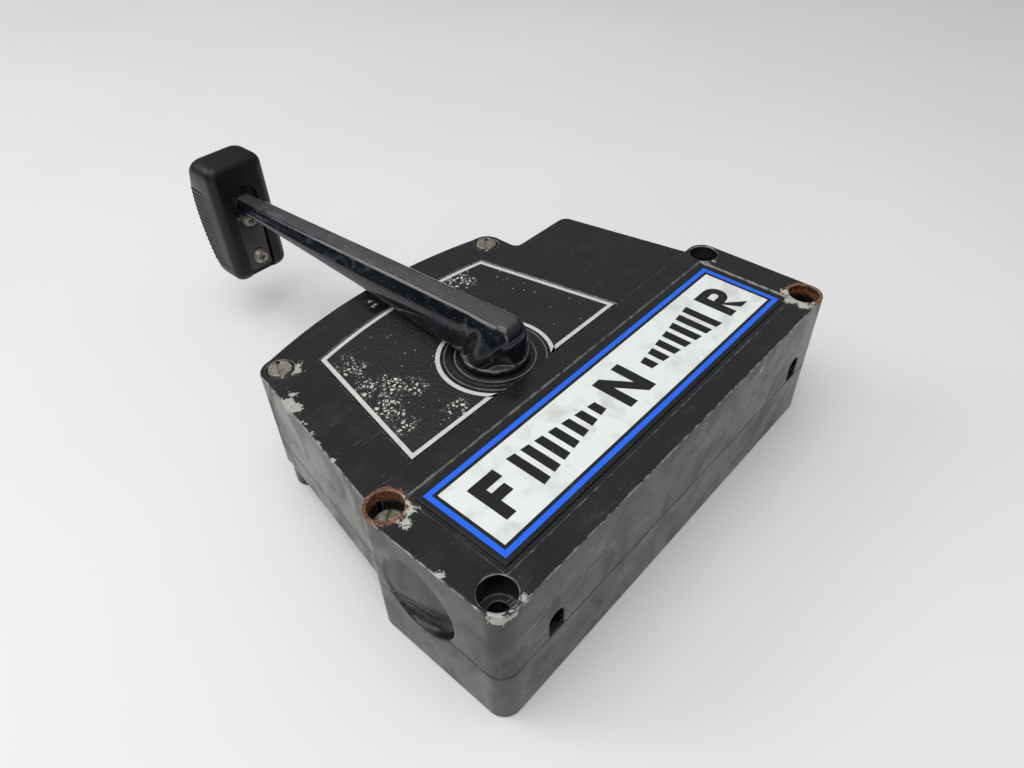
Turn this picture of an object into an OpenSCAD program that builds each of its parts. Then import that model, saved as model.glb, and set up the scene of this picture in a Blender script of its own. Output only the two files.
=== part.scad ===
// Single-lever engine control box, side-mount type: one handle works both the throttle and the gear shift.
// The origin is where the handle shaft's axis meets the mounting plane. X runs along the nameplate,
// Y towards the grip, Z out of the front face. Millimetres.

/* [Housing] */
// Length of the straight bar that carries the nameplate
bar_len = 244; // [203:1:293]
// Width of the bar
bar_w = 75.5; // [70:0.5:91]
// Height of the bar from the mounting plane to its front face
housing_h = 74; // [66:0.5:90]
// Radius of the bar's upright corners
bar_corner_r = 8.5; // [7:0.1:10]
// Distance from the handle shaft to the bar's left end
axis_from_left = 101.4; // [92:0.1:122]
// Distance from the handle shaft down to the bar's upper edge
axis_above_bar = 20.1; // [19:0.1:24]
// Height of the joint between the rear and the front housing
parting_z = 31.5; // [30:0.1:36]
// Height of the hump's back above the mounting plane
hump_rise = 17; // [14:0.5:19]
// How far the hump's face lies below the bar's face
face_step = 1.2; // [0.8:0.1:2]
// Wall thickness of both castings
wall = 4; // [3.3:0.1:4.8]
// Distance from the handle shaft to the top of the hump's arc
hump_top_y = 87.5; // [80:0.5:105]
// Radius of the hump's arched top edge
hump_arc_r = 257; // [215:1:308]
// Lean of the hump's sides
side_lean = 9.8; // [8:0.1:11.7]
// How far the bar's ends stand out past the hump
end_overhang = 6; // [5:0.1:7.2]
// Distance from the handle shaft to the top edge of the hump's low shoulder
shoulder_y = 54.5; // [46:0.5:60]
// Height of the hump's case screws above the shaft
hump_screw_y = 69; // [64:0.5:72]
// Distance between the hump's two case screws
hump_screw_pitch = 138; // [126:1:150]
// Radius of the bosses round the hump's case screws
hump_boss_r = 9.2; // [7.7:0.1:11]
// Radius of the round thumb recess in the bar's left end
dish_r = 20.5; // [17.5:0.5:23]
// Depth of the thumb recess at its deep side
dish_depth = 7; // [6:0.5:8.5]
// Width of the wiring notches at the joint line
notch_w = 9; // [7.5:0.5:10.8]
// Height of the wiring notches above the joint line
notch_h = 14; // [12:0.5:16]

/* [Fasteners] */
// Distance from the bar's edges to its corner holes
hole_inset = 9; // [8.5:0.1:10.5]
// Diameter of the two through holes for the mounting bolts
mount_hole_d = 8.7; // [7.3:0.1:9.6]
// Diameter of the counterbores in the bar's corners
counterbore_d = 15; // [13:0.1:15.6]
// Depth of those counterbores
counterbore_depth = 12; // [10:0.5:14]
// Thread diameter of the case screws
case_screw_d = 6.35; // [5.3:0.05:7]
// Head diameter of the case screws
case_head_d = 11.6; // [10:0.1:12.6]
// Head height of the case screws
case_head_h = 3.4; // [2.8:0.1:4]

/* [Handle] */
// Distance from the shaft to the grip's inner face
grip_reach = 199.5; // [190:0.5:240]
// Length of the grip
grip_len = 76; // [66:0.5:91]
// Width of the grip
grip_w = 36; // [30:0.5:43]
// Depth of the grip at its middle
grip_depth = 35.5; // [30:0.5:42]
// How far the grip's middle lies behind the bar's face
grip_drop = 4.2; // [-2:0.1:6]
// Radius of the handle's round skirt at the hub
skirt_r = 16.5; // [13.8:0.1:19.5]
// Gap between the skirt and the hub plate
skirt_gap = 0.6; // [0.4:0.1:1]
// Height of the handle's crest above the bar's face, at the hub
crest_h = 23; // [20:0.5:27]
// Width of the handle's crest at the hub
crest_w = 12; // [10:0.5:14.4]
// Width of the handle's underside at the hub
under_w = 24; // [20:0.5:27]

/* [Mechanism] */
// Diameter of the handle shaft
shaft_d = 12; // [10:0.1:14.4]
// Wall of the two flanged bushes
bush_wall = 2.5; // [2:0.1:3]
// Length of the rear bush
rear_bush_len = 10; // [8:0.5:12]
// Gear module (tooth size)
gear_module = 1.5; // [1.25:0.05:1.6]
// Teeth on the drive gear
drive_teeth = 24; // [22:2:26]
// Teeth on a full turn of the shift sector
sector_teeth = 48; // [44:2:50]
// Face width of the gears
gear_t = 8; // [6.5:0.5:9]
// Thickness of the throttle crank
crank_t = 6; // [5:0.5:7]
// Radius at which the throttle cable pin sits
crank_reach = 32; // [27:0.5:36]
// Radius at which the shift cable pin sits
shift_reach = 35; // [30:0.5:38]
// Diameter of the two cable pins
cable_pin_d = 6; // [5:0.1:7.2]
// Diameter of the control cables' outer cover
cable_d = 7; // [5.8:0.1:8.4]
// Diameter of the detent ball
ball_d = 5; // [4.2:0.1:5.4]

/* [Hidden] */
$fn = 64;

// Small working allowances
play = 0.3;          // free gap between pieces that move past each other
running_fit = 0.04;  // radial gap of a shaft in its bush
push_fit = 0.02;     // radial gap of a piece pushed into a bore
eps = 0.05;          // overlap that keeps cuts clean

// Bar outline
bar_x0 = -axis_from_left;
bar_x1 = bar_len - axis_from_left;
bar_y1 = -axis_above_bar;
bar_y0 = bar_y1 - bar_w;
bar_mid = [(bar_x0 + bar_x1) / 2, (bar_y0 + bar_y1) / 2];
hole_x = [bar_x0 + hole_inset, bar_x1 - hole_inset];
hole_y = [bar_y0 + hole_inset, bar_y1 - hole_inset];
mount_holes = [for (x = hole_x) [x, hole_y[0]]];
bar_screws = [for (x = hole_x) [x, hole_y[1]]];

// Hump outline
hump_left_x = bar_x0 + end_overhang;
hump_right_x = bar_x1 - 2 * end_overhang;
hump_screw_mid = -2;
hump_screws = [for (s = [-1, 1]) [hump_screw_mid + s * hump_screw_pitch / 2, hump_screw_y]];
shoulder_corner_r = 5;
notch_fillet_r = 4;
overlap_y = 12;      // how far the hump runs in under the bar
low_limit_y = bar_y1 - 2 * overlap_y;
shoulder_mid_y = shoulder_y - shoulder_corner_r;
shoulder_mid_x = hump_right_x - (shoulder_mid_y - bar_y1) * tan(side_lean)
    - shoulder_corner_r / cos(side_lean);
column_r = hole_inset + 1.5;

// Dowels that line the two castings up
dowel_r = 2;
dowel_len = 12;
dowel_boss_r = 4.5;
dowels = [for (s = [-1, 1]) [bar_mid[0] + s * 55, bar_y0 + wall + 1.5]];

// Heights
hump_face_z = housing_h - face_step;
hump_floor_z = hump_rise + wall;
ceiling_z = hump_face_z - wall;
bar_ceiling_z = housing_h - wall;
seat_z = housing_h - counterbore_depth;
screw_tip_z = 9;
hump_recess = 2.6;

// Shaft stack, from the rear bush upwards
shaft_r = shaft_d / 2;
bush_r = shaft_r + bush_wall;
bush_boss_r = bush_r + wall;
rear_boss_z = hump_floor_z + rear_bush_len;
ring_t = 1.2;
ring_z = rear_boss_z + play;
lower_washer_z = ring_z + ring_t;
washer_t = 1.5;
gear_z = lower_washer_z + washer_t;
spacer_t = 2;
crank_z = gear_z + gear_t + spacer_t;
thrust_z = crank_z + crank_t;
front_bush_z = thrust_z + washer_t + play;
flange_t = 2;
flange_r = bush_r + 3;
seal_h = 4;
bush_top_z = hump_face_z - seal_h;
key_w = 4;
key_depth = 2;
set_screw_z = housing_h + 9;
shaft_top_z = housing_h + 15;

// Gear pair
drive_r = gear_module * drive_teeth / 2;
sector_r = gear_module * sector_teeth / 2;
gear_centres = drive_r + sector_r;
mesh_angle = -45;
sector_pos = gear_centres * [cos(mesh_angle), sin(mesh_angle)];
backlash = 0.4;
pressure_angle = 20;
sector_hub_r = 11;
sector_t = gear_t - 1;
stud_r = 5;
stud_head_r = 8;
stud_collar_t = 1.5;
stud_boss_z = gear_z - play - stud_collar_t;
sector_bush_r = stud_r + 2;
sector_arm_pos = sector_pos + [0, -shift_reach];
sector_top_z = gear_z + sector_t;
half_sector = 55;

// Neutral switch and detent
cam_r = 15;
lobe_r = 18;
lobe_half_angle = 9;
switch_x = -(lobe_r + play + 9);
switch_len = 26;
switch_w = 18;
switch_h = 12;
switch_screw_r = 1.6;
switch_screws_at = [[switch_x - 19, -5.5], [switch_x - 19, 5.5]];
switch_mid_z = crank_z + crank_t / 2;
plunger_r = 2.5;
plunger_len = 16;
groove_r = bush_r + 4.3;
pin_stand = 9;
pin_head_t = 1.5;
ball_r = ball_d / 2;
ball_sink = 1.2;
ball_z = gear_z + ball_sink - ball_r;
dimple_extra = 0.5;
groove_clear = 0.25;
detent_angle = 200;
detent_pos = groove_r * [cos(detent_angle), sin(detent_angle)];
spring_wire_r = 0.5;
spring_r = ball_r - spring_wire_r - 0.2;
spring_turns = 5;
spring_base_z = hump_floor_z + 1;
detent_bore_r = ball_r + 0.15;
detent_post_r = detent_bore_r + 1.6;
detent_post_z = gear_z - 0.4;
washer_r = shaft_r + 3.3;
dimple_turns = [-24, 0, 24];

// Nameplate, trim and hub plate
plate_len = 206;
plate_w = 47;
plate_t = 0.9;
plate_recess = [plate_len + 5, plate_w + 5.5, plate_t];
trim_t = 0.7;
trim_gap = 0.5;
trim_base_w = 138;
trim_low_gap = 1.2;
trim_top_y = hump_top_y - 21.5;
trim_mid = -1;
trim_hub_r = 25.2;
hub_plate_r = trim_hub_r - 0.4;
hub_plate_t = 1.7;
hub_plate_z = hump_face_z - trim_t;

// Cable exit at the right end
cable_y = [bar_mid[1] - 10.5, bar_mid[1] + 10.5];
cable_z = parting_z;
port_r = cable_d / 2 + 4;
grommet_lip = 2.5;
grommet_inner_lip = 1.2;
grommet_inner_t = 1.5;
clamp_x = bar_x1 - 36;
clamp_len = 12;
clamp_w = 50;
clamp_low_z = cable_z - cable_d / 2 - 2;
clamp_top_z = cable_z + cable_d / 2 + 3;
clamp_screw_y = [bar_mid[1] - 20.5, bar_mid[1] + 20.5];
clamp_screw_r = 2.4;

// Handle
skirt_z = hub_plate_z + hub_plate_t + skirt_gap;
skirt_t = 2.2;
crest_z = housing_h + crest_h;
grip_end_crest_z = housing_h + 12;
grip_end_under_z = housing_h + 6.5;
foot_t = 4;
foot_w = 16;
grip_mid_z = housing_h - grip_drop;
foot_z = [grip_mid_z - grip_len / 2 + 5.5, grip_mid_z + 22.2];
channel_depth = 5.5;
foot_y = grip_reach + channel_depth - foot_t;
grip_screw_z = [grip_mid_z - 24.8, grip_mid_z + 1.2];
grip_screw_r = 2.4;
grip_head_r = 5;
grip_head_h = 3;
grip_side_r = 9;
grip_inner_r = 6;
grip_bow = 10;       // how far the outer side bows out between its ends

// ---------- shared outlines ----------

module rounded_bar(inset) {
    r = bar_corner_r - inset;
    x0 = bar_x0 + inset;
    x1 = bar_x1 - inset;
    y0 = bar_y0 + inset;
    y1 = bar_y1 - inset;
    translate([x0 + r, y0]) square([x1 - x0 - 2 * r, y1 - y0]);
    translate([x0, y0 + r]) square([x1 - x0, y1 - y0 - 2 * r]);
    for (x = [x0 + r, x1 - r], y = [y0 + r, y1 - r]) translate([x, y]) circle(r = r);
}

// Straight-sided part of the hump up to top_y, with its sides moved in by inset
module hump_block(inset, top_y) {
    side = inset / cos(side_lean);
    low_y = bar_y1 - overlap_y;
    lean_low = overlap_y * tan(side_lean);
    lean_top = (top_y - bar_y1) * tan(side_lean);
    polygon([[hump_left_x - lean_low + side, low_y], [hump_right_x + lean_low - side, low_y],
             [hump_right_x - lean_top - side, top_y], [hump_left_x + lean_top + side, top_y]]);
}

module hump_outline(inset = 0) {
    left = hump_screws[0];
    right = hump_screws[1];
    r = hump_boss_r - inset;
    intersection() {
        hump_block(inset, hump_screw_y);
        translate([left[0] - bar_len, low_limit_y]) square([hump_screw_pitch + bar_len + r, 2 * bar_len]);
    }
    hump_block(inset, shoulder_mid_y);
    // low shoulder with its rounded outer corner
    translate([shoulder_mid_x, shoulder_mid_y]) circle(r = shoulder_corner_r - inset);
    translate([0, shoulder_mid_y - eps]) square([shoulder_mid_x, shoulder_corner_r - inset + eps]);
    // arched top between the two screw bosses
    intersection() {
        translate([hump_screw_mid, hump_top_y - hump_arc_r]) circle(r = hump_arc_r - inset, $fn = 128);
        translate([left[0], 0]) square([hump_screw_pitch, hump_top_y]);
    }
    for (p = [left, right]) translate(p) circle(r = r);
    // hollow corner between the right boss and the shoulder
    hollow_r = notch_fillet_r + inset;
    difference() {
        translate([right[0], shoulder_y - inset - eps]) square([r + hollow_r, hollow_r + eps]);
        translate([right[0] + r + hollow_r, shoulder_y + notch_fillet_r]) circle(r = hollow_r);
    }
}

module plan_2d(inset = 0) {
    rounded_bar(inset);
    hump_outline(inset);
}

module slab(z0, z1) {
    translate([0, 0, z0]) linear_extrude(height = z1 - z0) children();
}

module tube(r_out, r_in, z0, z1) {
    translate([0, 0, z0]) difference() {
        cylinder(r = r_out, h = z1 - z0);
        translate([0, 0, -1]) cylinder(r = r_in, h = z1 - z0 + 2);
    }
}

// Bar-end thumb recess: a tilted floor, nearly flush on the hump's side and deepest on the other,
// that turns up to the rim in a hollow corner
dish_y = bar_mid[1] + 8.35;
dish_z = parting_z + 12.2;
dish_tilt = 11;
dish_corner_r = 4;
dish_reach = 20;     // how far the cutter stands out of the bar's end
dish_mid_depth = dish_depth - (dish_r - dish_corner_r) * sin(dish_tilt);

module thumb_recess() {
    flat_r = dish_r - dish_corner_r;
    translate([bar_x0 + dish_mid_depth, dish_y, dish_z]) rotate([0, 0, dish_tilt]) rotate([0, 90, 0])
        rotate_extrude() {
            translate([0, -dish_reach]) square([dish_r, dish_reach - dish_corner_r]);
            translate([0, -dish_corner_r - 1]) square([flat_r, dish_corner_r + 1]);
            translate([flat_r, -dish_corner_r]) circle(r = dish_corner_r, $fn = 64);
        }
}

module recess_backing() {
    intersection() {
        translate([bar_x0 + wall / 2, dish_y, dish_z]) rotate([0, 90, 0])
            cylinder(r = dish_r + wall, h = dish_depth + wall / 2);
        slab(wall / 2, bar_ceiling_z + 1) rounded_bar(wall / 2);
    }
}

module cable_ports(r) {
    for (y = cable_y) translate([bar_x1 - 2 * wall, y, cable_z]) rotate([0, 90, 0])
        cylinder(r = r, h = 3 * wall);
}

// Room round the grommets' inner lips, so that a corner column never meets them
module grommet_seats() {
    lip_x = bar_x1 - wall - grommet_inner_t - play;
    for (y = cable_y) translate([lip_x, y, cable_z]) rotate([0, 90, 0])
        cylinder(r = port_r + grommet_inner_lip + play, h = grommet_inner_t + play);
}

// Screw with a slotted pan head; the top of the head is at z = 0
module slotted_screw(d, head_d, head_h, len) {
    difference() {
        union() {
            translate([0, 0, -head_h]) cylinder(d1 = head_d, d2 = head_d - 0.8, h = head_h);
            translate([0, 0, -head_h - len]) cylinder(d = d, h = len + eps);
        }
        translate([-head_d, -0.8, -1.5]) cube([2 * head_d, 1.6, 3]);
    }
}

// Screw with a crossed recess; the top of the head is at z = 0
module cross_screw(r, head_r, head_h, len) {
    difference() {
        union() {
            translate([0, 0, -head_h]) cylinder(r1 = head_r, r2 = head_r * 0.72, h = head_h);
            translate([0, 0, -head_h - len]) cylinder(r = r, h = len + eps);
        }
        for (a = [0, 90]) rotate([0, 0, a]) translate([-head_r / 2, -0.5, -head_h * 0.6])
            cube([head_r, 1, head_h]);
    }
}

// ---------- gears ----------

function involute(rb, t) = rb * [cos(t) + t * PI / 180 * sin(t), sin(t) - t * PI / 180 * cos(t)];
function flank_turn(rb, r) = sqrt(r * r / (rb * rb) - 1) * 180 / PI;

// One tooth centred on angle 0, from below its root to its tip
module gear_tooth(teeth) {
    pitch_r = gear_module * teeth / 2;
    base_r = pitch_r * cos(pressure_angle);
    root_r = pitch_r - 1.3 * gear_module;
    tip_r = pitch_r + 0.95 * gear_module;
    low_r = max(base_r, root_r);
    half_tooth = 90 / teeth - backlash / pitch_r * 90 / PI;
    at_pitch = involute(base_r, flank_turn(base_r, pitch_r));
    shift = atan2(at_pitch[1], at_pitch[0]) + half_tooth;
    steps = 5;
    flank = [for (i = [0:steps]) involute(base_r, flank_turn(base_r, low_r + (tip_r - low_r) * i / steps))];
    right = [for (p = flank) [p[0] * cos(shift) + p[1] * sin(shift), p[1] * cos(shift) - p[0] * sin(shift)]];
    left = [for (i = [0:steps]) [right[steps - i][0], -right[steps - i][1]]];
    inner = root_r - 0.8;
    foot = atan2(right[0][1], right[0][0]);
    polygon(concat([inner * [cos(foot), sin(foot)]], right, left, [inner * [cos(foot), -sin(foot)]]));
}

module drive_gear_2d() {
    for (i = [0:drive_teeth - 1]) rotate(mesh_angle + i * 360 / drive_teeth) gear_tooth(drive_teeth);
    circle(r = drive_r - 1.3 * gear_module);
}

// ---------- housing ----------

module corner_columns(z0, z1) {
    slab(z0, z1) intersection() {
        for (p = concat(mount_holes, bar_screws)) translate(p) circle(r = column_r);
        rounded_bar(wall / 2);
    }
    slab(z0, z1) for (p = hump_screws) translate(p) circle(r = hump_boss_r - wall / 4);
}

module front_housing() color([0.1, 0.105, 0.11]) difference() {
    union() {
        difference() {
            union() {
                slab(parting_z, housing_h) rounded_bar(0);
                slab(parting_z, hump_face_z) hump_outline(0);
            }
            slab(parting_z - 1, ceiling_z) plan_2d(wall);
        }
        corner_columns(parting_z, ceiling_z + 1);
        intersection() {
            recess_backing();
            translate([bar_x0, bar_y0, parting_z]) cube([60, bar_w, housing_h]);
        }
        for (p = dowels) translate([p[0], p[1], parting_z])
            cylinder(r = dowel_boss_r, h = ceiling_z - parting_z);
        // boss for the front bush
        slab(front_bush_z + flange_t, ceiling_z + 1) circle(r = bush_boss_r);
    }
    for (p = concat(mount_holes, bar_screws)) translate([p[0], p[1], seat_z])
        cylinder(d = counterbore_d, h = counterbore_depth + 1);
    for (p = mount_holes) translate([p[0], p[1], parting_z - 1]) cylinder(d = mount_hole_d, h = housing_h);
    for (p = bar_screws) translate([p[0], p[1], parting_z - 1])
        cylinder(d = case_screw_d + 0.4, h = housing_h);
    for (p = hump_screws) translate([p[0], p[1], parting_z - 1])
        cylinder(d = case_screw_d + 0.4, h = housing_h);
    for (p = hump_screws) translate([p[0], p[1], hump_face_z - hump_recess])
        cylinder(d = case_head_d + 2, h = hump_recess + 1);
    // bush bore and seal pocket
    translate([0, 0, front_bush_z]) cylinder(r = bush_r + push_fit, h = housing_h);
    // shallow beds for the nameplate, the trim and the hub plate
    translate([bar_mid[0] - plate_recess[0] / 2, bar_mid[1] - plate_recess[1] / 2, housing_h - plate_t])
        cube([plate_recess[0], plate_recess[1], plate_t + 1]);
    slab(hump_face_z - trim_t, hump_face_z + 1) trim_outline(trim_gap);
    slab(hub_plate_z, hump_face_z + 1) hub_plate_outline(hub_plate_r + play);
    thumb_recess();
    cable_ports(port_r);
    grommet_seats();
    for (x = [bar_x0 + 30.5, bar_x1 - 23]) wiring_notch(x);
    for (p = dowels) translate([p[0], p[1], parting_z - 1])
        cylinder(r = dowel_r + push_fit, h = dowel_len / 2 + 1.5);
}

module wiring_notch(x) {
    r = notch_w / 2;
    translate([x - r, bar_y0 - 1, parting_z - 1]) cube([notch_w, wall + 3, notch_h - r + 1]);
    translate([x, bar_y0 - 1, parting_z + notch_h - r]) rotate([-90, 0, 0]) cylinder(r = r, h = wall + 3);
}

module rear_housing() color([0.1, 0.105, 0.11]) difference() {
    union() {
        difference() {
            union() {
                slab(0, parting_z) rounded_bar(0);
                slab(hump_rise, parting_z) hump_outline(0);
            }
            slab(hump_floor_z, parting_z + 1) plan_2d(wall);
            slab(wall, parting_z + 1) rounded_bar(wall);
        }
        corner_columns(hump_floor_z - 1, parting_z);
        slab(1, parting_z) intersection() {
            for (p = concat(mount_holes, bar_screws)) translate(p) circle(r = column_r);
            rounded_bar(wall / 2);
        }
        // feet under the hump, down to the mounting plane
        for (p = hump_screws) translate([p[0], p[1], 0]) cylinder(r = hump_boss_r - 1.5, h = parting_z);
        intersection() {
            recess_backing();
            translate([bar_x0, bar_y0, 1]) cube([60, bar_w, parting_z - 1]);
        }
        // bosses for the rear bush, which is also the hump's middle foot, the sector stud and the detent
        cylinder(r = bush_boss_r, h = rear_boss_z);
        translate([sector_pos[0], sector_pos[1], 1]) cylinder(r = stud_head_r + 2, h = stud_boss_z - 1);
        difference() {
            translate([detent_pos[0], detent_pos[1], hump_rise + 1])
                cylinder(r = detent_post_r, h = detent_post_z - hump_rise - 1);
            translate([0, 0, rear_boss_z]) cylinder(r = washer_r + play, h = housing_h);
        }
        for (p = dowels) translate([p[0], p[1], 1]) cylinder(r = dowel_boss_r, h = parting_z - 1);
        // pedestal that the cable clamp is screwed to
        translate([clamp_x - clamp_len / 2, bar_mid[1] - clamp_w / 2, 1])
            cube([clamp_len, clamp_w, clamp_low_z - 1]);
        // post for the neutral switch
        translate([switch_x - switch_len, -switch_w / 2, hump_rise + 1])
            cube([switch_len, switch_w, switch_mid_z - switch_h / 2 - hump_rise - 1]);
    }
    for (p = mount_holes) translate([p[0], p[1], -1]) cylinder(d = mount_hole_d, h = housing_h);
    for (p = bar_screws) translate([p[0], p[1], screw_tip_z - 2])
        cylinder(d = case_screw_d + 2 * push_fit, h = housing_h);
    for (p = hump_screws) translate([p[0], p[1], screw_tip_z + 8])
        cylinder(d = case_screw_d + 2 * push_fit, h = housing_h);
    translate([0, 0, hump_floor_z]) cylinder(r = bush_r + push_fit, h = housing_h);
    translate([sector_pos[0], sector_pos[1], 4]) cylinder(r = stud_r + push_fit, h = housing_h);
    translate([detent_pos[0], detent_pos[1], spring_base_z]) cylinder(r = detent_bore_r, h = housing_h);
    for (y = clamp_screw_y) translate([clamp_x, y, clamp_low_z - 12])
        cylinder(r = clamp_screw_r + push_fit, h = housing_h);
    for (p = switch_screws_at) translate([p[0], p[1], switch_mid_z - switch_h / 2 - 9])
        cylinder(r = switch_screw_r + push_fit, h = housing_h);
    thumb_recess();
    cable_ports(port_r);
    grommet_seats();
    for (p = dowels) translate([p[0], p[1], parting_z - dowel_len / 2 - 0.5])
        cylinder(r = dowel_r + push_fit, h = dowel_len);
}

module dowel_pins() color([0.62, 0.63, 0.65]) {
    for (p = dowels) translate([p[0], p[1], parting_z - dowel_len / 2]) cylinder(r = dowel_r, h = dowel_len);
}

module hump_case_screws() color([0.68, 0.67, 0.63]) {
    len = hump_face_z - hump_recess - screw_tip_z - 10;
    head_top_z = hump_face_z - hump_recess + case_head_h;
    for (i = [0, 1]) translate([hump_screws[i][0], hump_screws[i][1], head_top_z])
        rotate([0, 0, 65 - 20 * i]) slotted_screw(case_screw_d, case_head_d, case_head_h, len);
}

module bar_case_screws() color([0.68, 0.67, 0.63]) {
    len = seat_z - screw_tip_z;
    for (i = [0, 1]) translate([bar_screws[i][0], bar_screws[i][1], seat_z + case_head_h])
        rotate([0, 0, 40 + 70 * i]) slotted_screw(case_screw_d, case_head_d, case_head_h, len);
}

module nameplate() color([0.92, 0.93, 0.92]) {
    translate([bar_mid[0] - plate_len / 2, bar_mid[1] - plate_w / 2, housing_h - plate_t])
        cube([plate_len, plate_w, plate_t]);
}

// Trim shape: leaning sides, arched top, flat foot beside the bar, round cut-out about the hub
module trim_outline(grow) {
    half = trim_base_w / 2 + grow;
    low_y = bar_y1 + trim_low_gap - grow;
    side_top_y = trim_top_y + grow;
    lean = (side_top_y - low_y) * tan(side_lean + 0.7);
    difference() {
        intersection() {
            translate([trim_mid, 0]) polygon([[-half, low_y], [half, low_y],
                                              [half - lean, side_top_y], [lean - half, side_top_y]]);
            translate([trim_mid, trim_top_y - hump_arc_r]) circle(r = hump_arc_r + grow, $fn = 128);
        }
        circle(r = trim_hub_r - grow);
        translate([-trim_hub_r, bar_y1 - trim_hub_r]) square([2 * trim_hub_r, trim_hub_r]);
    }
}

module trim_panel() color([0.2, 0.2, 0.19]) slab(hump_face_z - trim_t, hump_face_z) trim_outline(0);

module hub_plate_outline(r) {
    difference() {
        circle(r = r);
        translate([-2 * r, bar_y1 - 2 * r + play]) square([4 * r, 2 * r]);
    }
}

module hub_plate() color([0.08, 0.08, 0.085]) difference() {
    union() {
        slab(hub_plate_z, hub_plate_z + 1) hub_plate_outline(hub_plate_r);
        // raised rings
        intersection() {
            tube(hub_plate_r - 3.2, hub_plate_r - 4.4, hub_plate_z, hub_plate_z + hub_plate_t - 0.2);
            slab(hub_plate_z, housing_h + 2) hub_plate_outline(hub_plate_r);
        }
        slab(hub_plate_z, hub_plate_z + hub_plate_t) circle(r = skirt_r + 2);
    }
    translate([0, 0, hub_plate_z - 1]) cylinder(r = shaft_r + play, h = 4);
}

module front_bush() color([0.72, 0.56, 0.3]) {
    tube(bush_r, shaft_r + running_fit, front_bush_z, bush_top_z);
    tube(flange_r, bush_r - eps, front_bush_z, front_bush_z + flange_t);
}

module rear_bush() color([0.72, 0.56, 0.3]) {
    tube(bush_r, shaft_r + running_fit, hump_floor_z, rear_boss_z);
}

module shaft_seal() color([0.05, 0.05, 0.05]) {
    ring_r = bush_wall / 2;
    translate([0, 0, bush_top_z + ring_r]) rotate_extrude()
        translate([shaft_r + running_fit + ring_r, 0]) circle(r = ring_r - push_fit, $fn = 32);
}

module cable_grommets() color([0.06, 0.06, 0.06]) {
    for (y = cable_y) translate([0, y, cable_z]) rotate([0, 90, 0]) difference() {
        union() {
            translate([0, 0, bar_x1 - wall]) cylinder(r = port_r - push_fit, h = wall + eps);
            translate([0, 0, bar_x1]) cylinder(r = port_r + 2.3, h = grommet_lip);
            translate([0, 0, bar_x1 - wall - grommet_inner_t])
                cylinder(r = port_r + grommet_inner_lip, h = grommet_inner_t);
        }
        translate([0, 0, bar_x1 - 3 * wall]) cylinder(d = cable_d, h = 6 * wall);
    }
}

module cable_clamp() color([0.55, 0.56, 0.57]) difference() {
    translate([clamp_x - clamp_len / 2, bar_mid[1] - clamp_w / 2, clamp_low_z])
        cube([clamp_len, clamp_w, clamp_top_z - clamp_low_z]);
    for (y = cable_y) translate([clamp_x - clamp_len, y, cable_z]) rotate([0, 90, 0])
        cylinder(d = cable_d, h = 2 * clamp_len);
    for (y = clamp_screw_y) translate([clamp_x, y, 0]) cylinder(r = clamp_screw_r + 0.2, h = housing_h);
}

module clamp_screws() color([0.68, 0.67, 0.63]) {
    for (y = clamp_screw_y) translate([clamp_x, y, clamp_top_z + 2.6])
        cross_screw(clamp_screw_r, 4.4, 2.6, clamp_top_z - clamp_low_z + 10);
}

module sector_stud() color([0.6, 0.61, 0.63]) translate([sector_pos[0], sector_pos[1], 0]) difference() {
    union() {
        translate([0, 0, 6]) cylinder(r = stud_r, h = sector_top_z + 2.2 - 6);
        translate([0, 0, stud_boss_z]) cylinder(r = stud_head_r, h = stud_collar_t);
    }
    tube(stud_r + 1, stud_r - 0.8, sector_top_z + play, sector_top_z + play + 1);
}

// Spring clip: a flat ring with a slot in one side
module spring_clip(r_in, r_out, z, t) {
    difference() {
        tube(r_out, r_in, z, z + t);
        translate([0, -r_in * 0.6, z - 1]) cube([2 * r_out, r_in * 1.2, t + 2]);
    }
}

module sector_clip() color([0.5, 0.5, 0.52]) translate([sector_pos[0], sector_pos[1], 0])
    spring_clip(stud_r - 0.78, stud_r + 2.2, sector_top_z + play + 0.05, 0.9);

module switch_body() color([0.13, 0.13, 0.14]) difference() {
    translate([switch_x - switch_len, -switch_w / 2, switch_mid_z - switch_h / 2])
        cube([switch_len, switch_w, switch_h]);
    translate([switch_x - plunger_len + 9 - 2.5, 0, switch_mid_z]) rotate([0, 90, 0])
        cylinder(r = plunger_r + running_fit, h = plunger_len);
    for (p = switch_screws_at) translate([p[0], p[1], 0]) cylinder(r = switch_screw_r + 0.2, h = housing_h);
}

module switch_terminals() color([0.75, 0.6, 0.3]) {
    for (y = [-4, 4]) translate([switch_x - switch_len - 7, y - 2.4, switch_mid_z - 0.4]) cube([7, 4.8, 0.8]);
}

module switch_screws() color([0.68, 0.67, 0.63]) {
    for (p = switch_screws_at) translate([p[0], p[1], switch_mid_z + switch_h / 2 + 2])
        cross_screw(switch_screw_r, 3, 2, switch_h + 8);
}

module switch_plunger() color([0.75, 0.74, 0.7]) {
    translate([switch_x + 9 - plunger_len, 0, switch_mid_z]) rotate([0, 90, 0])
        cylinder(r = plunger_r, h = plunger_len);
}

module detent_ball() color([0.75, 0.76, 0.78]) {
    translate([detent_pos[0], detent_pos[1], ball_z]) sphere(r = ball_r);
}

module detent_spring() color([0.6, 0.61, 0.63]) {
    top_z = ball_z - ball_r;
    translate([detent_pos[0], detent_pos[1], spring_base_z])
        linear_extrude(height = top_z - spring_base_z, twist = -360 * spring_turns, slices = 60, segments = 8)
            translate([spring_r, 0]) circle(r = spring_wire_r, $fn = 8);
}

// ---------- handle and what turns with it ----------

module arm_section(y, crest_half, under_half, top_z, low_z) {
    translate([0, y, 0]) rotate([90, 0, 0]) linear_extrude(height = 0.5)
        polygon([[-under_half, low_z], [under_half, low_z], [crest_half, top_z], [-crest_half, top_z]]);
}

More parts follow.
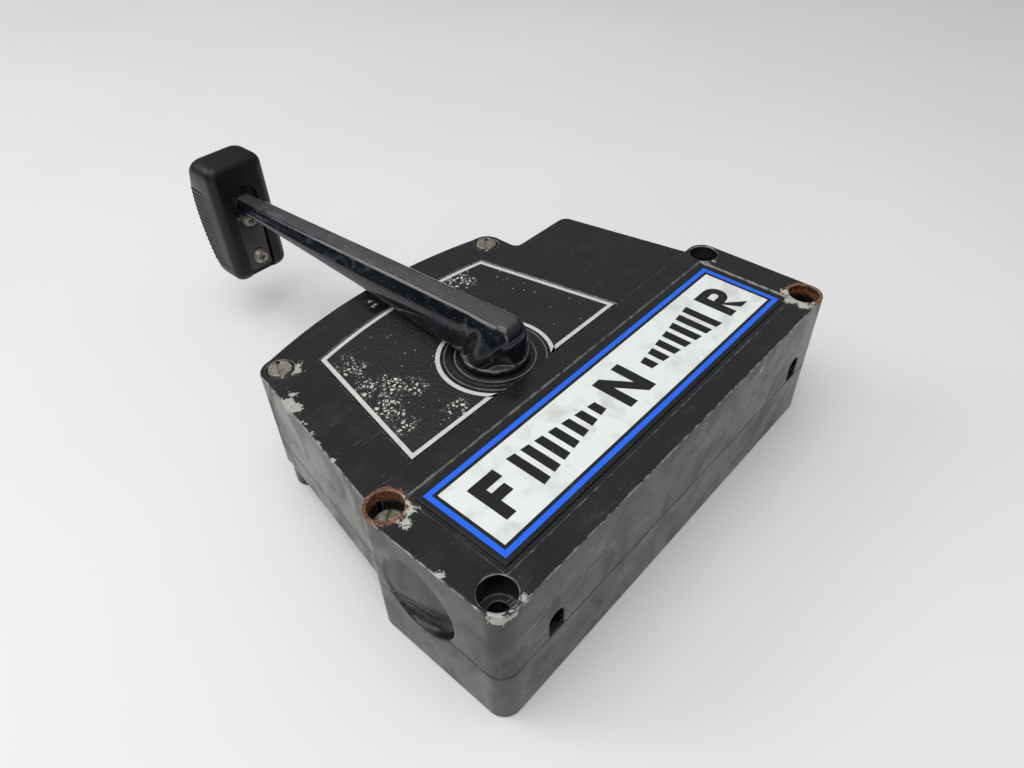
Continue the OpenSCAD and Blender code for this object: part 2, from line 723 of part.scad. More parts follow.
module handle_arm() color([0.07, 0.075, 0.08]) difference() {
    union() {
        hull() {
            arm_section(-8, crest_w / 2, under_w / 2, crest_z, skirt_z + 0.5);
            arm_section(foot_y + 0.6, crest_w / 2 - 1, foot_w / 2 - 1, grip_end_crest_z, grip_end_under_z);
        }
        translate([0, 0, skirt_z]) cylinder(r = skirt_r, h = skirt_t);
        translate([0, 0, skirt_z + skirt_t - eps])
            cylinder(r1 = skirt_r - 0.6, r2 = crest_w / 2, h = crest_z - skirt_z - skirt_t - 1);
        foot_plate(foot_w, foot_y, foot_t);
    }
    translate([0, 0, skirt_z - 1]) cylinder(r = shaft_r + push_fit, h = shaft_top_z - skirt_z + 1.3);
    translate([shaft_r - 1, 0, set_screw_z]) rotate([0, 90, 0]) cylinder(r = 3 + push_fit, h = skirt_r);
    for (z = grip_screw_z) translate([0, foot_y - 1, z]) rotate([-90, 0, 0])
        cylinder(r = grip_screw_r + 0.2, h = foot_t + 2);
}

// Upright plate with a round top and softened bottom corners
module foot_plate(w, y, t) {
    r = w / 2;
    low_r = 3;
    translate([0, y + t, 0]) rotate([90, 0, 0]) linear_extrude(height = t) {
        translate([0, foot_z[1] - r]) circle(r = r);
        translate([-r, foot_z[0] + low_r]) square([w, foot_z[1] - foot_z[0] - r - low_r]);
        translate([low_r - r, foot_z[0]]) square([w - 2 * low_r, 2 * low_r]);
        for (x = [low_r - r, r - low_r]) translate([x, foot_z[0] + low_r]) circle(r = low_r);
    }
}

// Plan of the grip: every corner rounded, the outer ones more than the inner ones
module grip_plan() {
    outer_y = grip_reach + grip_depth;
    hull() for (s = [-1, 1]) {
        translate([s * (grip_w / 2 - grip_inner_r), grip_reach + grip_inner_r]) circle(r = grip_inner_r);
        translate([s * (grip_w / 2 - grip_side_r), outer_y - grip_side_r]) circle(r = grip_side_r);
    }
}

module grip() color([0.08, 0.08, 0.085]) difference() {
    bulge_r = (grip_len * grip_len / 4 + grip_bow * grip_bow) / (2 * grip_bow);
    intersection() {
        slab(grip_mid_z - grip_len / 2, grip_mid_z + grip_len / 2) grip_plan();
        // side view: outer edge bowed out at the middle
        translate([-grip_w, grip_reach + grip_depth - bulge_r, grip_mid_z]) rotate([0, 90, 0])
            cylinder(r = bulge_r, h = 2 * grip_w, $fn = 128);
    }
    foot_plate(foot_w + 2 * play, grip_reach - 1, channel_depth + 1);
    for (z = grip_screw_z) translate([0, grip_reach + channel_depth - 1, z]) rotate([-90, 0, 0])
        cylinder(r = grip_screw_r + push_fit, h = 14);
}

module grip_screws() color([0.75, 0.74, 0.72]) {
    for (z = grip_screw_z) translate([0, foot_y - grip_head_h, z]) rotate([90, 0, 0])
        cross_screw(grip_screw_r, grip_head_r, grip_head_h, foot_t + 11);
}

module handle_shaft() color([0.62, 0.63, 0.65]) difference() {
    translate([0, 0, hump_floor_z + 0.4]) cylinder(r = shaft_r, h = shaft_top_z - hump_floor_z - 0.4);
    tube(shaft_r + 1, shaft_r - 0.8, ring_z, ring_z + ring_t);
    translate([-key_w / 2, shaft_r - key_depth, gear_z]) cube([key_w, key_depth + 1, thrust_z - gear_z]);
    translate([shaft_r - 1, 0, set_screw_z]) rotate([0, 90, 0]) cylinder(r = 3 + push_fit, h = 3);
}

module handle_set_screw() color([0.3, 0.3, 0.31]) difference() {
    translate([shaft_r - 1 + push_fit, 0, set_screw_z]) rotate([0, 90, 0]) cylinder(r = 3, h = 5.5);
    translate([shaft_r + 2.5, 0, set_screw_z]) rotate([0, 90, 0]) cylinder(r = 1.6, h = 5, $fn = 6);
}

module shaft_key() color([0.55, 0.56, 0.58]) {
    translate([-key_w / 2, shaft_r - key_depth, gear_z])
        cube([key_w, 2 * key_depth - 0.1, thrust_z - gear_z]);
}

module keyed_bore(z0, z1) {
    slab(z0 - 1, z1 + 1) circle(r = shaft_r + push_fit);
    translate([-key_w / 2 - push_fit, 0, z0 - 1])
        cube([key_w + 2 * push_fit, shaft_r + key_depth, z1 - z0 + 2]);
}

module drive_gear() color([0.6, 0.61, 0.62]) difference() {
    slab(gear_z, gear_z + gear_t) drive_gear_2d();
    keyed_bore(gear_z, gear_z + gear_t);
    // ring groove for the detent ball, with a deeper dimple at neutral and at each gear position
    translate([0, 0, ball_z]) rotate_extrude()
        translate([groove_r, 0]) circle(r = ball_r + groove_clear, $fn = 32);
    for (a = dimple_turns) rotate([0, 0, detent_angle + a])
        translate([groove_r, 0, ball_z + dimple_extra]) sphere(r = ball_r + groove_clear);
}

module throttle_crank() color([0.6, 0.61, 0.62]) difference() {
    slab(crank_z, crank_z + crank_t) {
        circle(r = cam_r);
        polygon([[0, -9], [crank_reach, -6.5], [crank_reach, 6.5], [0, 9]]);
        translate([crank_reach, 0]) circle(r = 6.5);
        // lobe that holds the neutral switch in
        intersection() {
            circle(r = lobe_r);
            polygon([[0, 0], [-2 * lobe_r, 2 * lobe_r * tan(lobe_half_angle)],
                     [-2 * lobe_r, -2 * lobe_r * tan(lobe_half_angle)]]);
        }
    }
    keyed_bore(crank_z, crank_z + crank_t);
    translate([crank_reach, 0, crank_z - 1]) cylinder(d = cable_pin_d + 2 * push_fit, h = crank_t + 2);
}

module spacer_washer() color([0.66, 0.67, 0.68])
    tube(shaft_r + 5, shaft_r + key_depth + 0.2, crank_z - spacer_t, crank_z);

module thrust_washer() color([0.66, 0.67, 0.68])
    tube(shaft_r + 5, shaft_r + push_fit, thrust_z, thrust_z + washer_t);

module lower_washer() color([0.66, 0.67, 0.68])
    tube(washer_r, shaft_r + push_fit, lower_washer_z, gear_z);

module retaining_ring() color([0.45, 0.45, 0.46])
    spring_clip(shaft_r - 0.78, washer_r, ring_z + 0.05, ring_t - 0.05);

// Headed pin that a cable end drops onto; the head is under the lever, from_z is the lever's underside
module cable_pin(from_z, lever_t) {
    top_z = from_z + lever_t + pin_stand;
    difference() {
        union() {
            slab(from_z - pin_head_t, top_z) circle(d = cable_pin_d);
            slab(from_z - pin_head_t, from_z) circle(d = cable_pin_d + 3.4);
        }
        tube(cable_pin_d, cable_pin_d / 2 - 0.6, top_z - 2.4, top_z - 1.4);
    }
}

module cable_pin_clip(from_z, lever_t) {
    spring_clip(cable_pin_d / 2 - 0.58, cable_pin_d / 2 + 2.2, from_z + lever_t + pin_stand - 2.35, 0.9);
}

module throttle_pin() color([0.62, 0.63, 0.65]) {
    translate([crank_reach, 0, 0]) cable_pin(crank_z, crank_t);
}

module throttle_pin_clip() color([0.5, 0.5, 0.52]) {
    translate([crank_reach, 0, 0]) cable_pin_clip(crank_z, crank_t);
}

// ---------- shift sector ----------

module shift_sector() color([0.6, 0.61, 0.62]) difference() {
    translate([sector_pos[0], sector_pos[1], 0]) slab(gear_z, sector_top_z) {
        first = -floor(half_sector * sector_teeth / 360);
        for (i = [first:-first - 1]) rotate(180 + mesh_angle + (i + 0.5) * 360 / sector_teeth)
            gear_tooth(sector_teeth);
        // toothed quadrant and its two spokes, as a wedge of a disc
        intersection() {
            difference() {
                circle(r = sector_r - 1.3 * gear_module);
                circle(r = sector_r - 9);
            }
            rotate(180 + mesh_angle) wedge(half_sector + 2);
        }
        for (a = [-0.75, 0, 0.75]) rotate(180 + mesh_angle + a * half_sector) translate([0, -3])
            square([sector_r - 6, 6]);
        circle(r = sector_hub_r);
        // arm down to the cable pin
        polygon([[-8, 0], [-6.5, -shift_reach], [6.5, -shift_reach], [8, 0]]);
        translate([0, -shift_reach]) circle(r = 6.5);
    }
    translate([sector_pos[0], sector_pos[1], gear_z - 1])
        cylinder(r = sector_bush_r + push_fit, h = sector_t + 2);
    translate([sector_arm_pos[0], sector_arm_pos[1], gear_z - 1])
        cylinder(d = cable_pin_d + 2 * push_fit, h = sector_t + 2);
}

// Flat wedge that opens by half_angle to each side of the X axis
module wedge(half_angle) {
    reach = 3 * sector_r;
    polygon([[0, 0], reach * [cos(half_angle), -sin(half_angle)], [reach, 0],
             reach * [cos(half_angle), sin(half_angle)]]);
}

module sector_bush() color([0.72, 0.56, 0.3]) translate([sector_pos[0], sector_pos[1], 0])
    tube(sector_bush_r, stud_r + running_fit, gear_z, sector_top_z);

module shift_pin() color([0.62, 0.63, 0.65]) {
    translate([sector_arm_pos[0], sector_arm_pos[1], 0]) cable_pin(gear_z, sector_t);
}

module shift_pin_clip() color([0.5, 0.5, 0.52]) {
    translate([sector_arm_pos[0], sector_arm_pos[1], 0]) cable_pin_clip(gear_z, sector_t);
}

rear_housing();
front_housing();
nameplate();
trim_panel();
hub_plate();
front_bush();
rear_bush();
shaft_seal();
hump_case_screws();
bar_case_screws();
dowel_pins();
cable_grommets();
cable_clamp();
clamp_screws();
sector_stud();
sector_clip();
switch_body();
switch_terminals();
switch_screws();
switch_plunger();
detent_ball();
detent_spring();
handle_arm();
grip();
grip_screws();
handle_shaft();
handle_set_screw();
drive_gear();
throttle_crank();
shaft_key();
spacer_washer();
thrust_washer();
lower_washer();
retaining_ring();
throttle_pin();
throttle_pin_clip();
shift_sector();
sector_bush();
shift_pin();
shift_pin_clip();
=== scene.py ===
import math
import bmesh
import bpy
from mathutils import Matrix, Vector


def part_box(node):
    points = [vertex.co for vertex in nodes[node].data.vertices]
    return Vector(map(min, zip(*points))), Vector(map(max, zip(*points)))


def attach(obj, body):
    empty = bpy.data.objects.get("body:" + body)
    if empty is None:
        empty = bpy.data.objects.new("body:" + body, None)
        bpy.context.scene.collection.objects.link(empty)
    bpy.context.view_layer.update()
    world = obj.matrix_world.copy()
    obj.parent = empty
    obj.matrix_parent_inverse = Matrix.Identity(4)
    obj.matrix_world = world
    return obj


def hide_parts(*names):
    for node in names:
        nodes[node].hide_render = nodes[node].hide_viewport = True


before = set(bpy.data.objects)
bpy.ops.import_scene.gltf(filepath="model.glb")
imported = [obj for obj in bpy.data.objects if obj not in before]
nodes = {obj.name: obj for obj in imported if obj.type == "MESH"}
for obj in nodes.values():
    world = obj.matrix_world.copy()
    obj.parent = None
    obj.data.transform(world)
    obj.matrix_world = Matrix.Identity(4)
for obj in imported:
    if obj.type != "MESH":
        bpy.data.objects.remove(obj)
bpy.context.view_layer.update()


# ---------------------------------------------------------------- Case halves
# Two die-cast aluminium shells that meet on a flat joint line, stoved in gloss black enamel.
# The outer edges are knocked back to bare metal, and the steel screws have rusted round their holes.

def add_node(tree, kind, inputs=None, **settings):
    """Adds one node: its settings, then each input from a value or from another node's socket."""
    node = tree.nodes.new(kind)
    for name, value in settings.items():
        setattr(node, name, value)
    for name, value in (inputs or {}).items():
        if isinstance(value, bpy.types.NodeSocket):
            tree.links.new(value, node.inputs[name])
        else:
            node.inputs[name].default_value = value
    return node


def shade(tree, kind, inputs=None, **settings):
    """Adds one shader node."""
    return add_node(tree, "ShaderNode" + kind, inputs, **settings)


def calc(tree, operation, a, b=0.0):
    """The result of a math node on two values or sockets."""
    return shade(tree, "Math", {0: a, 1: b}, operation=operation).outputs[0]


def times(tree, a, b):
    """The product of two values or sockets."""
    return calc(tree, "MULTIPLY", a, b)


def less(tree, a, b):
    """The first value or socket less the second."""
    return calc(tree, "SUBTRACT", a, b)


def swinging(tree, noise, size):
    """Noise from 0 to 1 made to swing about zero, by half the size each way."""
    return times(tree, less(tree, noise, 0.5), size)


def spread(tree, value, low, high, start=0.0, end=1.0):
    """A value between start and end, spread evenly between low and high."""
    return shade(tree, "MapRange", {"Value": value, "From Min": start, "From Max": end, "To Min": low,
                                    "To Max": high}).outputs[0]


def between(tree, value, low, high):
    """0 at low, 1 at high, and a smooth step between them."""
    return shade(tree, "MapRange", {"Value": value, "From Min": low, "From Max": high},
                 interpolation_type="SMOOTHSTEP").outputs[0]


def tint(tree, mask, plain, marked):
    """One colour over another, where the mask is 1."""
    return shade(tree, "Mix", {0: mask, 6: plain, 7: marked}, data_type="RGBA").outputs[2]


def millimetres(tree, turn=(0, 0, 0), stretch=(1, 1, 1)):
    """Object coordinates in millimetres, turned and stretched for a pattern that has a direction."""
    own = shade(tree, "TexCoord").outputs["Object"]
    scale = [1000 * s for s in stretch]
    return shade(tree, "Mapping", {"Vector": own, "Rotation": turn, "Scale": scale}).outputs[0]


def clouds(tree, where, scale, detail=3.0, distortion=0.0):
    """Smooth noise from 0 to 1, with its size in cycles for each millimetre."""
    return shade(tree, "TexNoise", {"Vector": where, "Scale": scale, "Detail": detail,
                                    "Distortion": distortion}).outputs[0]


def open_group(name, inputs, outputs):
    """A new shader group. Returns it with the sockets that bring its inputs in and take its outputs."""
    tree = bpy.data.node_groups.new(name, "ShaderNodeTree")
    for label, value in inputs.items():
        tree.interface.new_socket(label, in_out="INPUT", socket_type="NodeSocketFloat").default_value = value
    for label, kind in outputs.items():
        tree.interface.new_socket(label, in_out="OUTPUT", socket_type="NodeSocket" + kind)
    return tree, tree.nodes.new("NodeGroupInput").outputs, tree.nodes.new("NodeGroupOutput").inputs


def put_group(tree, group, inputs):
    """Places a shader group in a material and sets its inputs."""
    return shade(tree, "Group", inputs, node_tree=group).outputs


def new_finish(name, plain):
    """A material with its Principled shader's uniform values set."""
    material = bpy.data.materials.new(name)
    material.use_nodes = True
    shader = material.node_tree.nodes["Principled BSDF"]
    for label, value in plain.items():
        shader.inputs[label].default_value = value
    return material, material.node_tree, shader.inputs


def join_up(tree, pairs):
    """Links each (output, input) pair."""
    for source, target in pairs:
        tree.links.new(source, target)


def give_look(tree, shader, colour, rough, normal=None):
    """Links a finish's colour, roughness and normal to its Principled shader."""
    join_up(tree, [(colour, shader["Base Color"]), (rough, shader["Roughness"])])
    if normal is not None:
        tree.links.new(normal, shader["Normal"])


# Edge wear: paint gone along the corners of a casting, ragged where Raggedness is high.
worn_edges, given, made = open_group("Worn Edges", {"Reach": 0.001, "Raggedness": 0.5, "Bias": -0.4},
                                     {"Worn": "Float", "Rounded": "Vector"})
rounded = shade(worn_edges, "Bevel", {"Radius": given["Reach"]}, samples=6).outputs[0]
flat = shade(worn_edges, "NewGeometry").outputs["Normal"]
facing = shade(worn_edges, "VectorMath", {0: rounded, 1: flat}, operation="DOT_PRODUCT").outputs["Value"]
corner = times(worn_edges, less(worn_edges, 1.0, facing), 3.4)
ragged = shade(worn_edges, "TexNoise", {"Vector": millimetres(worn_edges), "Scale": given["Raggedness"],
                                        "Detail": 4.0, "Roughness": 0.62}).outputs[0]
level = calc(worn_edges, "ADD", swinging(worn_edges, ragged, 1.7), corner)
level = calc(worn_edges, "ADD", level, given["Bias"])
join_up(worn_edges, [(between(worn_edges, level, 0.5, 0.62), made["Worn"]), (rounded, made["Rounded"])])

# Handling marks: fine scratches in two directions, greasy patches, and the slight waviness of sprayed enamel.
handling, given, made = open_group("Handling Marks", {"Share": 0.5}, {"Scratch": "Float", "Smudge": "Float",
                                                                       "Waves": "Float"})
lines = []
for turn, stretch, low in (((0.3, 0.2, 0.9), (0.03, 0.9, 0.9), 0.52),
                           ((1.1, 0.5, -0.4), (0.05, 1.3, 1.3), 0.56)):
    streak = clouds(handling, millimetres(handling, turn, stretch), 1.0, 1.0)
    line = between(handling, calc(handling, "ABSOLUTE", less(handling, streak, 0.5)), 0.012, 0.002)
    place = between(handling, clouds(handling, millimetres(handling, turn), 0.045, 2.0), low, low + 0.12)
    lines.append(times(handling, line, place))
scratch = times(handling, calc(handling, "MAXIMUM", *lines), given["Share"])
join_up(handling, [(scratch, made["Scratch"]),
                   (clouds(handling, millimetres(handling), 0.05, 6.0, 0.8), made["Smudge"]),
                   (clouds(handling, millimetres(handling), 0.35, 2.0), made["Waves"])])

# Specks: small pale dots of dust and chipped paint, Share of the cells having one.
specks, given, made = open_group("Specks", {"Scale": 0.3, "Size": 0.18, "Share": 0.3}, {"Dots": "Float"})
cells = shade(specks, "TexVoronoi", {"Vector": millimetres(specks), "Scale": given["Scale"]})
picked = calc(specks, "LESS_THAN", shade(specks, "SeparateColor", {0: cells.outputs["Color"]}).outputs[0],
              given["Share"])
dot = calc(specks, "LESS_THAN", cells.outputs["Distance"], given["Size"])
join_up(specks, [(times(specks, dot, picked), made["Dots"])])


def nearness(tree, where, spots, ragged_by, ring=None):
    """Distance in millimetres to the nearest of some (x, y, z, radius) spots, made uneven.
    With ring, to the nearest ring of that half-width drawn at the radius."""
    nearest = None
    for x, y, z, radius in spots:
        away = shade(tree, "VectorMath", {0: where, 1: (x, y, z)}, operation="DISTANCE").outputs["Value"]
        away = less(tree, away, radius)
        if ring:
            away = less(tree, calc(tree, "ABSOLUTE", away), ring)
        nearest = away if nearest is None else calc(tree, "MINIMUM", nearest, away)
    return calc(tree, "ADD", nearest, ragged_by)


BLACK_ENAMEL = (0.0052, 0.0060, 0.0070, 1)
BARE_ALUMINIUM = (0.50, 0.50, 0.46, 1)
WHITE_CORROSION = (0.46, 0.46, 0.42, 1)
RUST = (0.33, 0.13, 0.045, 1)
DARK_RUST = (0.10, 0.038, 0.018, 1)
CHIPS = [(-83.8, 47.5, 72.8, 4.4), (-82, 42.5, 72.8, 3.0), (-85.5, 53, 72, 2.4), (-88, 44, 70, 3),
         (-89.5, 38, 68, 2), (-66.5, 62.5, 72.8, 2.2), (-64, 64.5, 72.8, 1.6), (-85.4, 33, 72.8, 1.1),
         (-87.2, 25, 72.8, 1.2), (-88.2, 18, 72.8, 0.9), (-90.5, 6, 72.8, 1.0), (-100.5, -66, 73.5, 1.2),
         (-99, -92.5, 72, 3.0), (-94, -94.5, 72, 2.2), (-88, -94.8, 73.5, 1.6), (-10.3, 78, 72.8, 0.8),
         (-10.0, 73.6, 72.8, 0.7), (77, -95.5, 66, 1.6), (128, -34, 74, 1.6), (130.5, -37, 74, 1.0),
         (-92, 33, 62, 2.0), (-95, 26, 55, 2.2), (-90.5, 41, 71.5, 3.4), (-77.5, 50.5, 72.8, 1.8)]
CORRODED = [(-87.2, -37.8, 74, 2.2), (-93, -40.6, 74, 2.0), (-86.4, -35, 74, 1.5), (125, -84.5, 74, 3.4),
            (124.2, -90, 74, 3.0), (129, -79, 74, 2.4), (126.5, -94, 74, 2.0), (-85.5, -30.5, 74, 1.2)]
RUSTED = [(-92.4, -29.1, 74, 8.3), (133.6, -86.6, 74, 8.5)]

enamel, tree, shader = new_finish("case enamel", {"Specular IOR Level": 0.5})
where = millimetres(tree)
coarse = swinging(tree, clouds(tree, where, 0.42, 6.0, 1.2), 9.0)
fine = swinging(tree, clouds(tree, where, 1.6, 4.0), 4.0)
edge = put_group(tree, worn_edges, {"Reach": 0.0012, "Raggedness": 0.28, "Bias": -0.36})
marks = put_group(tree, handling, {"Share": 1.0})
dust = put_group(tree, specks, {"Scale": 0.24, "Size": 0.07, "Share": 0.22})
height = shade(tree, "SeparateXYZ", {0: where}).outputs["Z"]
upper = between(tree, height, 58.0, 70.0)
edge_here = times(tree, edge["Worn"], calc(tree, "ADD", times(tree, upper, 0.75), 0.25))
chipped = between(tree, nearness(tree, where, CHIPS, coarse), 0.35, -0.1)
tilt = shade(tree, "SeparateXYZ", {0: edge["Rounded"]}).outputs["Z"]
slant = times(tree, times(tree, tilt, less(tree, 1.0, tilt)), 4.0)
uneven = swinging(tree, clouds(tree, where, 0.30, 6.0), 3.4)
on_rim = times(tree, between(tree, slant, 0.25, 0.5), upper)
rim_wear = times(tree, between(tree, calc(tree, "ADD", slant, uneven), 0.6, 0.9), on_rim)
bare = calc(tree, "MAXIMUM", calc(tree, "MAXIMUM", edge_here, rim_wear), chipped)
crusted = between(tree, nearness(tree, where, CORRODED, calc(tree, "ADD", coarse, fine)), 0.3, -0.3)
rust_ring = between(tree, nearness(tree, where, RUSTED, times(tree, fine, 1.3), 0.8), 0.45, -0.45)
scuffs = clouds(tree, millimetres(tree, (0.2, 0.1, 0.5), (0.35, 1.0, 1.0)), 0.12, 8.0, 1.0)
colour = tint(tree, between(tree, scuffs, 0.55, 0.80), BLACK_ENAMEL, (0.014, 0.016, 0.018, 1))
lower = less(tree, 1.0, upper)
colour = tint(tree, times(tree, between(tree, scuffs, 0.46, 0.62), lower), colour, (0.034, 0.035, 0.036, 1))
scored = times(tree, marks["Scratch"], less(tree, 0.65, times(tree, upper, 0.55)))
colour = tint(tree, scored, colour, BARE_ALUMINIUM)
colour = tint(tree, times(tree, dust["Dots"], 0.18), colour, BARE_ALUMINIUM)
metal_tone = tint(tree, clouds(tree, where, 0.9, 4.0), (0.28, 0.27, 0.24, 1), (0.66, 0.66, 0.62, 1))
colour = tint(tree, bare, colour, metal_tone)
rust_tone = tint(tree, between(tree, clouds(tree, where, 1.1, 4.0), 0.4, 0.62), DARK_RUST, RUST)
colour = tint(tree, rust_ring, colour, rust_tone)
colour = tint(tree, crusted, colour, WHITE_CORROSION)
spoiled = calc(tree, "MAXIMUM", calc(tree, "MAXIMUM", bare, crusted), rust_ring)
gloss = spread(tree, marks["Smudge"], 0.12, 0.40, 0.35, 0.65)
rough = shade(tree, "Mix", {0: spoiled, 2: gloss, 3: 0.62}).outputs[0]
relief = calc(tree, "ADD", times(tree, marks["Waves"], 0.012),
              times(tree, less(tree, crusted, bare), 0.10))
relief = calc(tree, "ADD", relief, times(tree, times(tree, spoiled, fine), 0.05))
bump = shade(tree, "Bump", {"Height": relief, "Distance": 0.001, "Strength": 1.0, "Normal": edge["Rounded"]})
give_look(tree, shader, colour, rough, bump.outputs[0])
metal_showing = times(tree, less(tree, bare, calc(tree, "MAXIMUM", crusted, rust_ring)), 0.5)
tree.links.new(metal_showing, shader["Metallic"])


def new_piece(name, shape, body, slot, material, *stands_for):
    """Puts a finished shape in the scene, on its body, in place of the CAD nodes that it stands for."""
    mesh = bpy.data.meshes.new(name)
    shape.to_mesh(mesh)
    shape.free()
    for finish in material if isinstance(material, list) else [material]:
        mesh.materials.append(finish)
    piece = bpy.data.objects.new(name, mesh)
    bpy.context.scene.collection.objects.link(piece)
    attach(piece, body)
    if stands_for:
        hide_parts(*stands_for)
    return piece


def whole_copy(node):
    """A copy of a CAD node's mesh with its triangles joined into flat faces."""
    shape = bmesh.new()
    shape.from_mesh(nodes[node].data)
    bmesh.ops.remove_doubles(shape, verts=shape.verts, dist=0.00006)
    bmesh.ops.dissolve_limit(shape, angle_limit=math.radians(0.7), verts=shape.verts, edges=shape.edges)
    return shape


def ease_edges(shape, width, segments=2, chosen=lambda edge: True, angle=28):
    """Rounds the chosen sharp edges, and keeps the others sharp to the eye."""
    limit = math.radians(angle)
    sharp = [e for e in shape.edges if e.is_manifold and e.calc_face_angle(0) > limit and chosen(e)]
    bmesh.ops.bevel(shape, geom=sharp, offset=width, segments=segments, profile=0.5, affect="EDGES",
                    clamp_overlap=False, loop_slide=True)
    bmesh.ops.remove_doubles(shape, verts=shape.verts, dist=0.00001)
    soften(shape)
    return shape


def soften(shape, angle=38):
    """Smooth shading, with a crease wherever two faces meet at more than the angle."""
    for face in shape.faces:
        face.smooth = True
    for e in shape.edges:
        e.smooth = e.is_manifold and e.calc_face_angle(0) < math.radians(angle)


def even_normals(piece):
    """Large flat faces keep their own normal, and the rounded edges take up the turn."""
    piece.modifiers.new("even", "WEIGHTED_NORMAL").keep_sharp = True


JOINT_Z, FACE_RIM_Z, WALL_REACH, RECESS_END_X = 31.5, 71, 20, -101.35


def outside_rim(edge):
    """True on the outside corners: the face's rim, the joint line, the back's rim and the thumb recess."""
    height = 1000 * (edge.verts[0].co.z + edge.verts[1].co.z) / 2
    levels = [[v.co.z for v in face.verts] for face in edge.link_faces]
    reach = [1000 * (max(zs) - min(zs)) for zs in levels]
    at_end = all(1000 * v.co.x < RECESS_END_X for v in edge.verts)
    at_face = height > FACE_RIM_Z and max(reach) > WALL_REACH
    return at_end or at_face or abs(height - JOINT_Z) < 0.05 or height < 0.5


case_front = new_piece("case_front_casting", ease_edges(whole_copy("front_housing"), 0.0006, 2, outside_rim),
                       "housing", "black_enamel", enamel, "front_housing")
case_rear = new_piece("case_rear_casting", ease_edges(whole_copy("rear_housing"), 0.0005, 2, outside_rim),
                      "housing", "black_enamel", enamel, "rear_housing")
even_normals(case_front)
even_normals(case_rear)


# ---------------------------------------------------------------- Nameplate
# An aluminium plate set flush in the bar: a white field in a black line and a blue line, on a black margin.
# The maker's lettering is replaced by the plain marks of such a control: forward, neutral and reverse.

plate_low, plate_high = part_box("nameplate")
plate_middle = (plate_low + plate_high) / 2
PANEL = (96.7, 17.4)
BLACK_LINE, BLUE_LINE = 1.6, 2.4
WHITE_INK, BLUE_INK, BLACK_INK = (0.80, 0.83, 0.81, 1), (0.012, 0.135, 0.86, 1), (0.006, 0.0065, 0.007, 1)

print_finish, tree, shader = new_finish("nameplate print", {"Specular IOR Level": 0.45})
where = millimetres(tree)
xyz = shade(tree, "SeparateXYZ", {0: where})
across = calc(tree, "ABSOLUTE", less(tree, xyz.outputs["X"], 1000 * plate_middle.x))
up = calc(tree, "ABSOLUTE", less(tree, xyz.outputs["Y"], 1000 * plate_middle.y))
outwards = calc(tree, "MAXIMUM", less(tree, across, PANEL[0]), less(tree, up, PANEL[1]))
past_white = between(tree, outwards, -0.05, 0.05)
past_black = between(tree, outwards, BLACK_LINE - 0.05, BLACK_LINE + 0.05)
past_blue = between(tree, outwards, BLACK_LINE + BLUE_LINE - 0.05, BLACK_LINE + BLUE_LINE + 0.05)
stain = clouds(tree, where, 0.08, 6.0, 0.5)
white = tint(tree, between(tree, stain, 0.45, 0.75), WHITE_INK, (0.60, 0.61, 0.57, 1))
dirt = put_group(tree, specks, {"Scale": 0.5, "Size": 0.15, "Share": 0.12})
white = tint(tree, times(tree, dirt["Dots"], 0.35), white, (0.2, 0.2, 0.19, 1))
colour = tint(tree, past_white, white, BLACK_INK)
colour = tint(tree, past_black, colour, BLUE_INK)
colour = tint(tree, past_blue, colour, BLACK_INK)
edge = put_group(tree, worn_edges, {"Reach": 0.0006, "Raggedness": 0.5, "Bias": -0.3})
marks = put_group(tree, handling, {"Share": 0.5})
colour = tint(tree, times(tree, marks["Scratch"], 0.16), colour, (0.35, 0.35, 0.34, 1))
colour = tint(tree, times(tree, edge["Worn"], 0.6), colour, BARE_ALUMINIUM)
rough = spread(tree, marks["Smudge"], 0.2, 0.38, 0.3, 0.7)
bump = shade(tree, "Bump", {"Height": marks["Waves"], "Distance": 0.00002, "Normal": edge["Rounded"]})
give_look(tree, shader, colour, rough, bump.outputs[0])
plate = new_piece("nameplate_plate", ease_edges(whole_copy("nameplate"), 0.00025, 2), "housing",
                  "nameplate_enamel", print_finish, "nameplate")
even_normals(plate)

ink_finish, tree, shader = new_finish("nameplate ink", {"Specular IOR Level": 0.45})
worn_ink = between(tree, clouds(tree, millimetres(tree), 1.2, 5.0), 0.72, 0.78)
rough = spread(tree, clouds(tree, millimetres(tree), 0.1, 4.0), 0.2, 0.4)
give_look(tree, shader, tint(tree, worn_ink, BLACK_INK, WHITE_INK), rough)

LETTER_TOP, STROKE = 10.5, 5.4
BAR_COUNT, BAR_START, BAR_PITCH, BAR_WIDTH = 7, 17, 7.4, 4.6
BAR_HALF, BAR_GROWTH, BAR_FLARE = 3.2, 1.05, 0.65
BOWL_X, BOWL_Y, BOWL_R, BOWL_HOLE = 82.6, 4.1, 6.4, (2.0, 1.9)


def ink_bar(shape, corners):
    """One flat printed shape, from its corners in millimetres from the plate's middle."""
    top = plate_high.z + 0.00003
    face = shape.faces.new([shape.verts.new((plate_middle.x + x / 1000, plate_middle.y + y / 1000, top))
                            for x, y in corners])
    if face.normal.z < 0:
        face.normal_flip()


